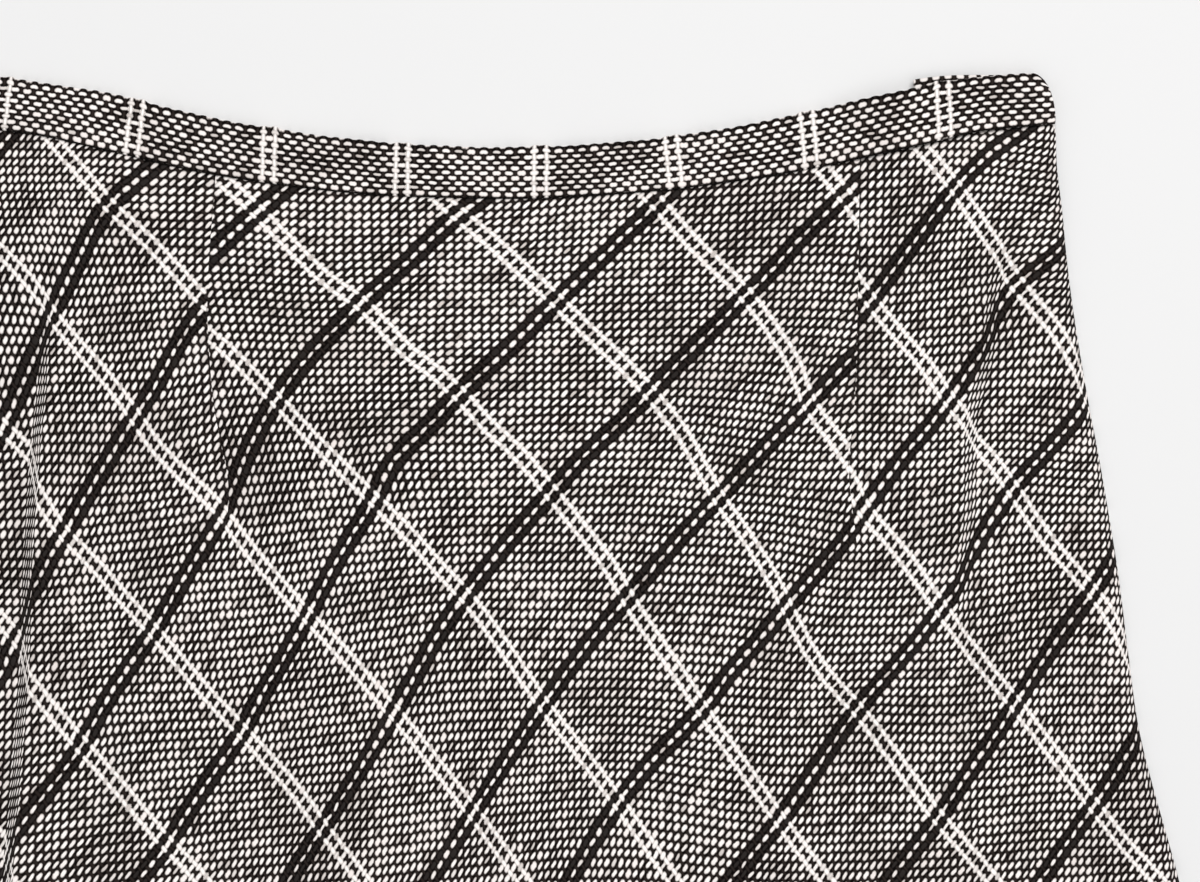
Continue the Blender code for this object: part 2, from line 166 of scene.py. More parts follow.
# How the checks lie on the front. Each row follows the middle of one stripe, as x and d.
LIGHT_STRIPES = {
    -5: [(-189, 300)],
    -4: [(-186, 214.5), (-181.5, 226.5), (-176.5, 236.5), (-167, 247.5), (-160.5, 255.5),
         (-148, 269.5), (-135.5, 284.5), (-128, 293.5), (-119.5, 301.5)],
    -3: [(-191, 135), (-181.5, 143.5), (-178, 154.5), (-175, 163.5), (-167, 175.5), (-156, 186),
         (-146.5, 198), (-133.5, 212), (-118, 230.5), (-108.5, 241), (-99.5, 250.5),
         (-86.5, 265), (-78, 274.5), (-69.5, 287)],
    -2: [(-191, 68.5), (-181, 78.5), (-172, 92), (-162.5, 103), (-155.5, 111), (-148, 120),
         (-140.5, 130.5), (-133, 142), (-122.5, 152.5), (-106.5, 167.5), (-98.5, 179.5),
         (-87, 193), (-75, 206.5), (-61.5, 220.5), (-49.5, 235), (-42, 243), (-12, 281)],
    -1: [(-168.5, 29.5), (-159.5, 39), (-151, 50), (-142.5, 57.5), (-134, 65.5), (-125.5, 74.5),
         (-116, 85), (-105.5, 105), (-94, 117), (-87, 124), (-75, 137), (-59.5, 152.5),
         (-49.5, 162.5), (-39, 172.5), (-23.5, 190), (-15, 198.5), (0, 218.5), (14.5, 240),
         (29.5, 259), (43, 277)],
    0: [(-107.5, 40.5), (-94, 52.5), (-79.5, 67.5), (-67, 79.5), (-54.5, 87), (-38, 105.5),
        (-26.5, 113.5), (-17.5, 121.5), (-7, 134), (4, 143), (17.5, 159.5), (26.5, 170.5),
        (40, 187.5), (46.5, 199.5), (55, 212.5), (68.5, 231.5), (75, 242), (86.5, 258),
        (104.5, 284)],
    1: [(-18, 53.5), (-8, 61.5), (7, 75), (19.5, 86.5), (35.5, 102), (48, 113.5), (55, 121.5),
        (69, 139), (81, 161.5), (89.5, 172.5), (102, 192), (107, 202.5), (115.5, 219.5),
        (124.5, 232), (134, 241.5), (150.5, 263.5), (164.5, 283), (178.5, 298.5)],
    2: [(58, 49.5), (73.5, 67), (84.5, 77), (91.5, 84), (100.5, 96), (110.5, 111), (115, 126),
        (124, 137), (131, 153), (135.5, 166.5), (145, 175.5), (155.5, 189), (165.5, 203.5),
        (173.5, 214.5), (186, 230.5), (194, 239.5), (204, 252.5), (214, 265.5), (224, 278.5),
        (237.5, 295.5), (248, 306.5)],
    3: [(129, 46.5), (139, 86.5), (148, 98), (159.5, 110), (168.5, 124.5), (175.5, 134),
        (184, 145), (193, 157.5), (202, 172), (212.5, 185), (223.5, 197), (230.5, 206.5),
        (236.5, 218.5)],
    4: [(158.5, 28.5), (171.5, 43.5), (179, 55), (187, 67.5), (194, 80), (204, 91),
        (214.5, 105), (223, 123)],
}
DARK_STRIPES = {
    -3: [(-138.5, 40), (-151, 50), (-159, 64), (-163, 72.5), (-168.5, 84), (-172, 92),
         (-178.5, 107), (-184.5, 119.5), (-191, 135)],
    -2: [(-86, 46), (-94, 52.5), (-107, 64.5), (-119.5, 95.5), (-124.5, 103.5), (-129, 111.5),
         (-133, 119.5), (-140.5, 130.5), (-152.5, 150), (-160.5, 163.5), (-167, 175.5),
         (-172.5, 183), (-179.5, 198), (-186, 214.5), (-190, 225.5)],
    -1: [(-9.5, 48.5), (-18, 53.5), (-27, 62), (-36.5, 71.5), (-47.5, 81), (-54.5, 87),
         (-63, 96), (-73.5, 106.5), (-82, 117), (-87, 124), (-99, 146.5), (-103.5, 157.5),
         (-106.5, 167.5), (-121, 190), (-129, 204), (-133.5, 212), (-141.5, 223.5),
         (-153.5, 241.5), (-160.5, 255.5), (-177.5, 277.5), (-189, 300)],
    0: [(58, 49.5), (43.5, 63.5), (27.5, 79), (19.5, 86.5), (7, 99), (-8, 113.5),
        (-17.5, 121.5), (-28.5, 134), (-43.5, 148), (-49.5, 162.5), (-64, 185), (-75, 206.5),
        (-85, 223.5), (-95.5, 241.5), (-99.5, 250.5), (-107.5, 261.5), (-121, 281),
        (-128, 293.5), (-134, 300)],
    1: [(129, 46.5), (111.5, 63.5), (99, 78), (91.5, 84), (83.5, 93), (70.5, 105.5),
        (55, 121.5), (43, 134), (31.5, 144), (17.5, 159.5), (7, 171.5), (-3, 183),
        (-15, 198.5), (-21.5, 207), (-33.5, 227.5), (-42, 243), (-69.5, 287)],
    2: [(198, 20.8), (192.5, 24.7), (184.2, 30.3), (171.5, 43.5), (162.5, 55), (150, 71.5),
        (139, 86.5), (128, 112), (115, 126), (97, 144), (87.5, 154.5), (81, 161.5), (72, 170.5),
        (53, 192), (46.5, 199.5), (37.5, 209.5), (23.5, 227.5), (14.5, 240), (2, 259),
        (-12, 281)],
    3: [(212.5, 66), (202, 74.5), (194, 80), (185, 98), (179.5, 108), (168.5, 124.5),
        (161.5, 134), (152.5, 144), (143.5, 156.5), (135.5, 166.5), (131, 175), (115.5, 193),
        (107, 202.5), (102, 209.5), (86.5, 226.5), (75, 242), (58, 259), (43, 277)],
    4: [(223, 123), (209.5, 140), (199, 151), (193, 157.5), (182, 175), (172.5, 194),
        (165.5, 203.5), (156.5, 215.5), (147, 226.5), (134, 241.5), (104.5, 284)],
    5: [(232.5, 183), (223.5, 197), (210, 214.5), (200.5, 229.5), (194, 239.5), (186, 252.5),
        (175, 267), (164.5, 283), (149, 303)],
    6: [(239.5, 254), (231.5, 267), (224, 278.5), (212, 294.5), (204, 306.5)],
}

# Where the pairs of light threads cross the waistband
BAND_PAIRS = [
    # x at the top edge, x at the foot
    (-241, -244), (-190, -192.5), (-139.5, -142), (-89.5, -90), (-39, -39.5),
    (13.5, 13.5), (63, 65), (114.5, 116.5), (166, 167), (217.5, 218.5),
]


def soft_step(low: float, high: float, value: Array) -> Array:
    """A soft step of the values, from 0 at low to 1 at high."""
    share = np.clip((value - low) / (high - low), 0.0, 1.0)
    return share * share * (3.0 - 2.0 * share)


def soft_fall(low: float, high: float, value: Array) -> Array:
    """A soft step of the values, from 1 at low to 0 at high."""
    return 1.0 - soft_step(low, high, value)


def along(table: list, value: Array, column: int = 1) -> Array:
    """A table's column at values of its first one, on a smooth curve through the rows.

    Args:
        table: Rows of numbers, sorted by their first.
        value: Where to read the table.
        column: The column to read.

    Returns:
        The column's values there.
    """
    keys = np.array([row[0] for row in table])
    heights = np.array([row[column] for row in table])
    value = np.asarray(value, float)
    last = len(keys) - 1
    row = np.clip(np.searchsorted(keys, value) - 1, 0, last - 1)
    before = np.maximum(row - 1, 0)
    after = np.minimum(row + 2, last)
    span = keys[row + 1] - keys[row]
    share = (value - keys[row]) / span
    rise = heights[row + 1] - heights[row]
    start = (heights[row + 1] - heights[before]) / (keys[row + 1] - keys[before]) * span
    end = (heights[after] - heights[row]) / (keys[after] - keys[row]) * span
    square = share * share
    cube = square * share
    curved = ((2 * cube - 3 * square + 1) * heights[row] + (cube - 2 * square + share) * start
              + (3 * square - 2 * cube) * heights[row + 1] + (cube - square) * end)
    return np.where((share <= 0) | (share >= 1), heights[row] + rise * share, curved)


def right_edge(d: Array) -> Array:
    """The x of the skirt's right side at depth d."""
    return along(OUTLINE, d, 1)


def left_edge(d: Array) -> Array:
    """The x of the skirt's left side at depth d."""
    return -along(OUTLINE, d, 2)


def shifted(curve: Curve, distance: float) -> Curve:
    """A curve moved to the right by a distance."""
    return lambda d: curve(d) + distance


def hem_depth(x: Array) -> Array:
    """The depth of the hem at x: an arc that hangs lowest at the centre."""
    return LENGTH - HEM_SAG * (x / HEM_HALF) ** 2


def to_metres(x: Array, d: Array, z: Array) -> Array:
    """Points of the working frame as an array of points in metres."""
    x, d, z = np.broadcast_arrays(x, d, z)
    return np.stack([x * MM, (LENGTH / 2 - d) * MM, z * MM], axis=-1)


def quarter_round(distance: Array, reach: float) -> Array:
    """How far a rounded edge has fallen, from 1 at the edge to 0 at reach inside it."""
    share = np.clip(1.0 - distance / reach, 0.0, 1.0)
    return 1.0 - np.sqrt(np.maximum(0.0, 1.0 - share * share))


class Side(Enum):
    """Which cloth a point belongs to: left of both darts, between them or right of them."""

    LEFT = -1
    MIDDLE = 0
    RIGHT = 1


@dataclass
class Lay:
    """The heights of the two panels as they lie, and how far each form reaches."""

    flat: float = 4.4
    swell: float = 0.45
    swell_full: float = 4.0
    swell_fade: Pair = (9.0, 19.8)
    closure_rise: float = 0.75
    closure_depths: Pair = (50.0, 75.0)
    closure_reach: Pair = (6.0, 20.0)
    roll_reach: float = 4.5
    meeting: float = 2.0
    meeting_gap: float = 0.1
    zip_meeting: float = 1.65
    zip_gap: float = 0.15
    zip_end: float = 205.0
    zip_fade: float = 60.0
    slider_edge: float = 3.6
    slider_end: float = 52.0
    slider_fade: float = 12.0
    notch: float = 4.2
    notch_ends: Pair = (50.0, 56.0)
    dart_groove: float = 0.75
    dart_half: float = 2.0
    dart_sharpness: float = 1.3
    dart_tip: float = 170.0
    dart_fade: float = 30.0
    pucker: float = 0.09
    pucker_place: float = 3.5
    pucker_half: float = 3.0
    pucker_lengths: Pair = (4.6, 2.7)
    seam_reach: float = 2.2
    seam_fall: float = 1.3
    hem_reach: float = 2.4
    hem_fall: float = 1.2
    hem_allowance: float = 32.0
    hem_step: float = 0.22
    calm_side: float = 9.0
    calm_seam: float = 14.0

    def ridges(self, x: Array, d: Array) -> Array:
        """How far the long folds lift the front at x and d.

        Args:
            x: Places across the skirt.
            d: Their depths.

        Returns:
            The lift in millimetres.
        """
        lift = np.zeros(np.broadcast(x, d).shape)
        for line, shift, height, left, right, start, full in RIDGES:
            crest = along(line, d) + shift
            width = np.where(x < crest, left, right)
            share = np.maximum(0.0, 1.0 - np.abs(x - crest) / width)
            lift = np.maximum(lift, height * soft_step(start, full, d) * soft_step(0, 1, share))
        return lift

    def creases(self, x: Array, d: Array) -> Array:
        """The small creases' height at x and d.

        Args:
            x: Places across the skirt.
            d: Their depths.

        Returns:
            Their height, below 0 in a trough.
        """
        lift = np.zeros(np.broadcast(x, d).shape)
        for x0, d0, x1, d1, height, half in CREASES:
            length = (x1 - x0) ** 2 + (d1 - d0) ** 2
            share = ((x - x0) * (x1 - x0) + (d - d0) * (d1 - d0)) / length
            inside = np.clip(share, 0.0, 1.0)
            away = np.hypot(x - x0 - inside * (x1 - x0), d - d0 - inside * (d1 - d0))
            ends = soft_step(-0.1, 0.35, share) * soft_fall(0.65, 1.1, share)
            lift = lift + height * ends * np.exp(-((away / half) ** 2))
        return lift

    def darts(self, x: Array, d: Array) -> Array:
        """The height of the darts' seams and of the small puckers beside them.

        Args:
            x: Places across the skirt.
            d: Their depths.

        Returns:
            Their height, below 0 in a seam.
        """
        lift = np.zeros(np.broadcast(x, d).shape)
        fade = soft_fall(self.dart_tip - self.dart_fade, self.dart_tip, d)
        long, short = self.pucker_lengths
        for line, phase in ((LEFT_DART, 0.0), (RIGHT_DART, 1.7)):
            away = np.abs(x - along(line, d))
            groove = np.maximum(0.0, 1.0 - away / self.dart_half)
            lift = lift - self.dart_groove * fade * groove ** self.dart_sharpness
            wave = np.sin(d / long + phase) + 0.6 * np.sin(d / short + 2.0 * phase)
            beside = np.exp(-((away - self.pucker_place) / self.pucker_half) ** 2)
            lift = lift + self.pucker * fade * wave * beside
        return lift

    def front_edge(self, x: Array, d: Array) -> Array:
        """Height of the front's rolled side edges, which stand higher beside the slider.

        Args:
            x: Places across the skirt.
            d: Their depths.

        Returns:
            The height above the floor.
        """
        past_zip = soft_step(self.zip_end, self.zip_end + self.zip_fade, d)
        edge = self.zip_meeting + (self.meeting - self.zip_meeting) * past_zip
        slider = soft_fall(self.slider_end, self.slider_end + self.slider_fade, d)
        edge = edge + (self.slider_edge - edge) * slider
        return np.where(x < 0, self.meeting, edge)

    def front(self, x: Array, d: Array) -> Array:
        """Height of the front panel's outer face at x and d.

        Args:
            x: Places across the skirt.
            d: Their depths.

        Returns:
            The height above the floor.
        """
        right = right_edge(d) - x
        side = np.minimum(right, x - left_edge(d))
        below_seam = d - along(BAND_FOOT, x)
        above_hem = hem_depth(x) - d
        swell = self.swell * soft_step(0.0, self.swell_full, side)
        z = self.flat + swell * soft_fall(*self.swell_fade, side)
        closure = self.closure_rise * soft_fall(*self.closure_depths, d)
        z = z + closure * soft_fall(*self.closure_reach, right)
        small = self.creases(x, d) * soft_step(0.0, self.calm_seam, below_seam)
        inner = soft_step(0.0, self.calm_side, side)
        z = z + self.ridges(x, d) + (small + self.darts(x, d)) * inner
        z = z + self.hem_step * soft_fall(self.hem_allowance - 2.0, self.hem_allowance + 2.0,
                                          above_hem)
        z = z - (z - self.front_edge(x, d)) * quarter_round(side, self.roll_reach)
        z = z - self.seam_fall * quarter_round(below_seam, self.seam_reach)
        return z - self.hem_fall * quarter_round(above_hem, self.hem_reach)

    def back(self, x: Array, d: Array) -> Array:
        """Height of the back panel's outer face, which rests on the floor.

        Args:
            x: Places across the skirt.
            d: Their depths.

        Returns:
            The height above the floor.
        """
        side = np.minimum(self.back_right(d) - x, x - left_edge(d))
        rise = np.full(np.broadcast(x, d).shape, self.meeting - self.meeting_gap)
        past_zip = soft_step(self.zip_end, self.zip_end + self.zip_fade, d)
        below_slider = soft_step(self.slider_end, self.slider_end + self.slider_fade, d)
        by_zip = (self.zip_meeting - self.zip_gap) * below_slider
        rise = np.where(x > 0, by_zip + (rise - by_zip) * past_zip, rise)
        return rise * quarter_round(side, self.roll_reach)

    def back_right(self, d: Array) -> Array:
        """The x of the back panel's right side, cut away beside the zip's slider."""
        return right_edge(d) - self.notch * soft_fall(*self.notch_ends, d)


@dataclass
class Grain:
    """Thread counts of the front's cloth, from where its stripes lie.

    The cloth that each dart and fold takes in is put back first, so the threads run on smoothly
    in the opened cloth, and a thin plate through the stripes gives the counts anywhere. A fold's
    row is the cloth it takes in, and the depths where that starts, is full, fades and ends.
    """

    intake: float = 0.18
    left_tip: float = 181.0
    right_tip: float = 189.0
    ease: float = 23.0
    stiffness: float = 0.05
    reach: float = 40.0
    roll: float = 2.6
    roll_ease: float = 1.7
    even_from: float = 215.0
    far_rows: tuple[float, ...] = (430.0, 560.0, 720.0, 880.0, 1040.0)
    far_columns: tuple[float, ...] = (-450.0, -300.0, -150.0, 0.0, 150.0, 300.0, 450.0)
    left_fold: tuple[float, ...] = (9.0, 78.0, 125.0, 340.0, 650.0)
    right_fold: tuple[float, ...] = (5.0, 58.0, 95.0, 172.0, 225.0)
    block: int = 4000
    light: tuple = field(init=False)
    dark: tuple = field(init=False)
    straight: list = field(init=False)

    def __post_init__(self) -> None:
        """Fits the two counts to the tables of stripes."""
        self.straight = [self.plane(LIGHT_STRIPES), self.plane(DARK_STRIPES)]
        self.light = self.fit(LIGHT_STRIPES, self.straight[0])
        self.dark = self.fit(DARK_STRIPES, self.straight[1])

    def wedge(self, d: Array, tip: float) -> Array:
        """The width that a dart takes in at depth d, which ends softly at its tip.

        Args:
            d: Depths.
            tip: The depth of the dart's tip.

        Returns:
            The width at each depth.
        """
        above = np.maximum(tip - d, 0.0)
        soft = self.intake * above * above / (2 * self.ease)
        return np.where(above < self.ease, soft, self.intake * (above - self.ease / 2))

    def taken(self, fold: tuple[float, ...], d: Array) -> Array:
        """The width that a fold takes in at depth d."""
        width, start, full, fade, end = fold
        return width * soft_step(start, full, d) * soft_fall(fade, end, d)

    def opened(self, x: Array, d: Array, side: Side | None = None) -> Array:
        """The x of points in the opened cloth.

        Args:
            x: Where they lie across the skirt.
            d: Their depths.
            side: The cloth they belong to, or None to take it from their place.

        Returns:
            Their x with the darts and folds opened.
        """
        left = x < along(LEFT_DART, d)
        right = x > along(RIGHT_DART, d)
        if side is not None:
            left = np.full(np.shape(x), side is Side.LEFT)
            right = np.full(np.shape(x), side is Side.RIGHT)
        moved = np.where(right, self.wedge(d, self.right_tip), 0.0)
        moved = moved - np.where(left, self.wedge(d, self.left_tip), 0.0)
        share = np.clip((along(LEFT_FOLD, d) + LEFT_FLANK - x) / LEFT_FLANK, 0, 1)
        moved = moved - self.taken(self.left_fold, d) * share
        share = np.clip((x - along(RIGHT_FOLD, d) + RIGHT_FLANK) / RIGHT_FLANK, 0, 1)
        return x + moved + self.taken(self.right_fold, d) * share

    def plane(self, stripes: dict) -> Array:
        """The even run of the threads low on the skirt: count per mm of x and of d, and offset.

        Args:
            stripes: A table of stripes.

        Returns:
            The two counts per mm and the offset.
        """
        low = [(number, x, d) for number, line in stripes.items() for x, d in line
               if d > self.even_from]
        rows = [(float(self.opened(np.array(x), np.array(d))), d, 1.0) for _, x, d in low]
        counts = [float(number) for number, _, _ in low]
        return np.linalg.lstsq(np.array(rows), np.array(counts), rcond=None)[0]

    def fit(self, stripes: dict, plane: Array) -> tuple[Array, Array]:
        """A thin plate through the stripes and, far from them, the threads' even run.

        Args:
            stripes: A table of stripes.
            plane: The even run of its threads.

        Returns:
            The plate's nodes and their weights, with the plane's three last.
        """
        points = [(x, d) for line in stripes.values() for x, d in line]
        counts = [number for number, line in stripes.items() for _ in line]
        for d in self.far_rows:
            for x in self.far_columns:
                points.append((x, d))
                across = float(self.opened(np.array(x), np.array(d)))
                counts.append(plane @ (across, d, 1.0))
        places = np.array(points, float)
        places[:, 0] = self.opened(places[:, 0], places[:, 1])
        places /= self.reach
        size = len(places)
        system = np.zeros((size + 3, size + 3))
        system[:size, :size] = self.bending(places, places) + self.stiffness * np.eye(size)
        system[:size, size] = 1.0
        system[:size, size + 1:] = places
        system[size:, :size] = system[:size, size:].T
        values = np.concatenate([np.array(counts, float), np.zeros(3)])
        return places, np.linalg.solve(system, values)

    def bending(self, first: Array, second: Array) -> Array:
        """The thin plate's term for each pair of points.

        Args:
            first: Rows of x and d.
            second: Rows of x and d.

        Returns:
            A row for each of the first points, a column for each of the second.
        """
        away = np.hypot(first[:, None, 0] - second[None, :, 0],
                        first[:, None, 1] - second[None, :, 1])
        return away * away * np.log(np.maximum(away, 1e-9))

    def rolled(self, distance: Array) -> Array:
        """The cloth that a rolled edge hides from above, at a distance inside it."""
        share = np.clip(1.0 - distance / self.roll / self.roll_ease, 0, 1)
        return self.roll * np.square(share)

    def counts(self, x: Array, d: Array, side: Side) -> Array:
        """Warp and weft thread counts.

        Args:
            x: Places across the skirt.
            d: Their depths.
            side: The cloth they belong to.

        Returns:
            An array of rows of two counts.
        """
        turned = x + self.rolled(right_edge(d) - x) - self.rolled(x - left_edge(d))
        places = np.stack([self.opened(turned, d, side), d], axis=1) / self.reach
        found = []
        for nodes, weights in (self.light, self.dark):
            parts = []
            size = len(nodes)
            for start in range(0, len(places), self.block):
                part = places[start:start + self.block]
                parts.append(self.bending(part, nodes) @ weights[:size] + weights[size]
                             + part @ weights[size + 1:])
            found.append(np.concatenate(parts) * THREADS_PER_CHECK + 1.0)
        return np.stack(found, axis=1)

    def back_counts(self, x: Array, d: Array) -> Array:
        """Thread counts of the back, which is the even run turned about the centre line."""
        rows = np.stack([-x, d, np.ones_like(x)], axis=1)
        return np.stack([rows @ plane * THREADS_PER_CHECK + 1.0 for plane in self.straight],
                        axis=1)


def arithmetic(operation: str) -> Callable[["Value", "Value | float"], "Value"]:
    """A method that adds a Math node, which takes a value and another one or a number."""
    return lambda value, other: value.wire.maths(operation, value, other)


@dataclass(frozen=True)
class Value:
    """A node's output, which takes arithmetic as a number does."""

    wire: "Wiring"
    socket: Socket

    __add__ = arithmetic("ADD")
    __sub__ = arithmetic("SUBTRACT")
    __mul__ = arithmetic("MULTIPLY")
    __truediv__ = arithmetic("DIVIDE")
    __pow__ = arithmetic("POWER")

    def __rsub__(self, other: float) -> "Value":
        """A number less this value."""
        return self.wire.maths("SUBTRACT", other, self)

    def __abs__(self) -> "Value":
        """This value without its sign."""
        return self.wire.maths("ABSOLUTE", self)


class Wiring:
    """Builds one material's nodes."""

    def __init__(self, name: str) -> None:
        """Makes a material with a Principled shader.

        Args:
            name: The material's name.
        """
        self.material = bpy.data.materials.new(name)
        self.material.use_nodes = True
        self.nodes = self.material.node_tree.nodes
        self.links = self.material.node_tree.links
        self.shader = self.nodes["Principled BSDF"]

    def feed(self, socket: Socket, value: Value | Colour | float) -> None:
        """Links a value to a socket, or sets the socket to a number or colour.

        Args:
            socket: An input.
            value: What it gets.
        """
        if isinstance(value, Value):
            self.links.new(value.socket, socket)
        elif isinstance(value, tuple):
            socket.default_value = (*value, 1.0)
        else:
            socket.default_value = value

    def node(self, kind: str, inputs: dict, output: int | str = 0, **settings: object) -> Value:
        """Adds a node.

        Args:
            kind: Its type.
            inputs: What to feed its inputs, by their names or numbers.
            output: The output to return.
            settings: The node's own settings.

        Returns:
            The output.
        """
        node = self.nodes.new(f"ShaderNode{kind}")
        for name, value in settings.items():
            setattr(node, name, value)
        for name, value in inputs.items():
            self.feed(node.inputs[name], value)
        return Value(self, node.outputs[output])

    def where(self) -> Value:
        """Object coordinates."""
        return self.node("TexCoord", {}, "Object")

    def maths(self, operation: str, *values: Value | float) -> Value:
        """A Math node's result."""
        return self.node("Math", dict(enumerate(values)), operation=operation)

    def ramp(self, value: Value, low: float, high: float, start: float = 0.0,
             end: float = 1.0) -> Value:
        """The value's place between low and high as a smooth step from start to end.

        Args:
            value: The value to place.
            low: Where the step starts.
            high: Where it ends.
            start: The result up to low.
            end: The result from high on.

        Returns:
            The result.
        """
        inputs = {"Value": value, "From Min": low, "From Max": high, "To Min": start,
                  "To Max": end}
        return self.node("MapRange", inputs, interpolation_type="SMOOTHSTEP")

    def blend(self, share: Value, first: Value | Colour, second: Value | Colour) -> Value:
        """A colour between two colours."""
        return self.node("Mix", {0: share, 6: first, 7: second}, 2, data_type="RGBA")

    def noise(self, vector: Value, scale: float, detail: float) -> Value:
        """A noise texture's value."""
        return self.node("TexNoise", {"Vector": vector, "Scale": scale, "Detail": detail})

    def vector(self, x: Value, y: Value, z: float = 0.0) -> Value:
        """A vector from three values."""
        return self.node("CombineXYZ", {0: x, 1: y, 2: z})

    def bump(self, height: Value, distance: float, strength: float) -> Value:
        """The surface's normal with a bump of that height."""
        return self.node("Bump", {"Height": height, "Distance": distance, "Strength": strength})

    def surface(self, inputs: dict) -> Material:
        """Feeds the shader's inputs.

        Args:
            inputs: What to feed them, by their names.

        Returns:
            The material.
        """
        for name, value in inputs.items():
            self.feed(self.shader.inputs[name], value)
        return self.material


@dataclass(frozen=True)
class Crossing:
    """The nearest place where a thread lies on top.

    It holds the thread's number, the number of the thread it crosses there, and the distances
    off the thread's middle and past the crossing.
    """

    thread: Value
    crossed: Value
    off: Value
    past: Value


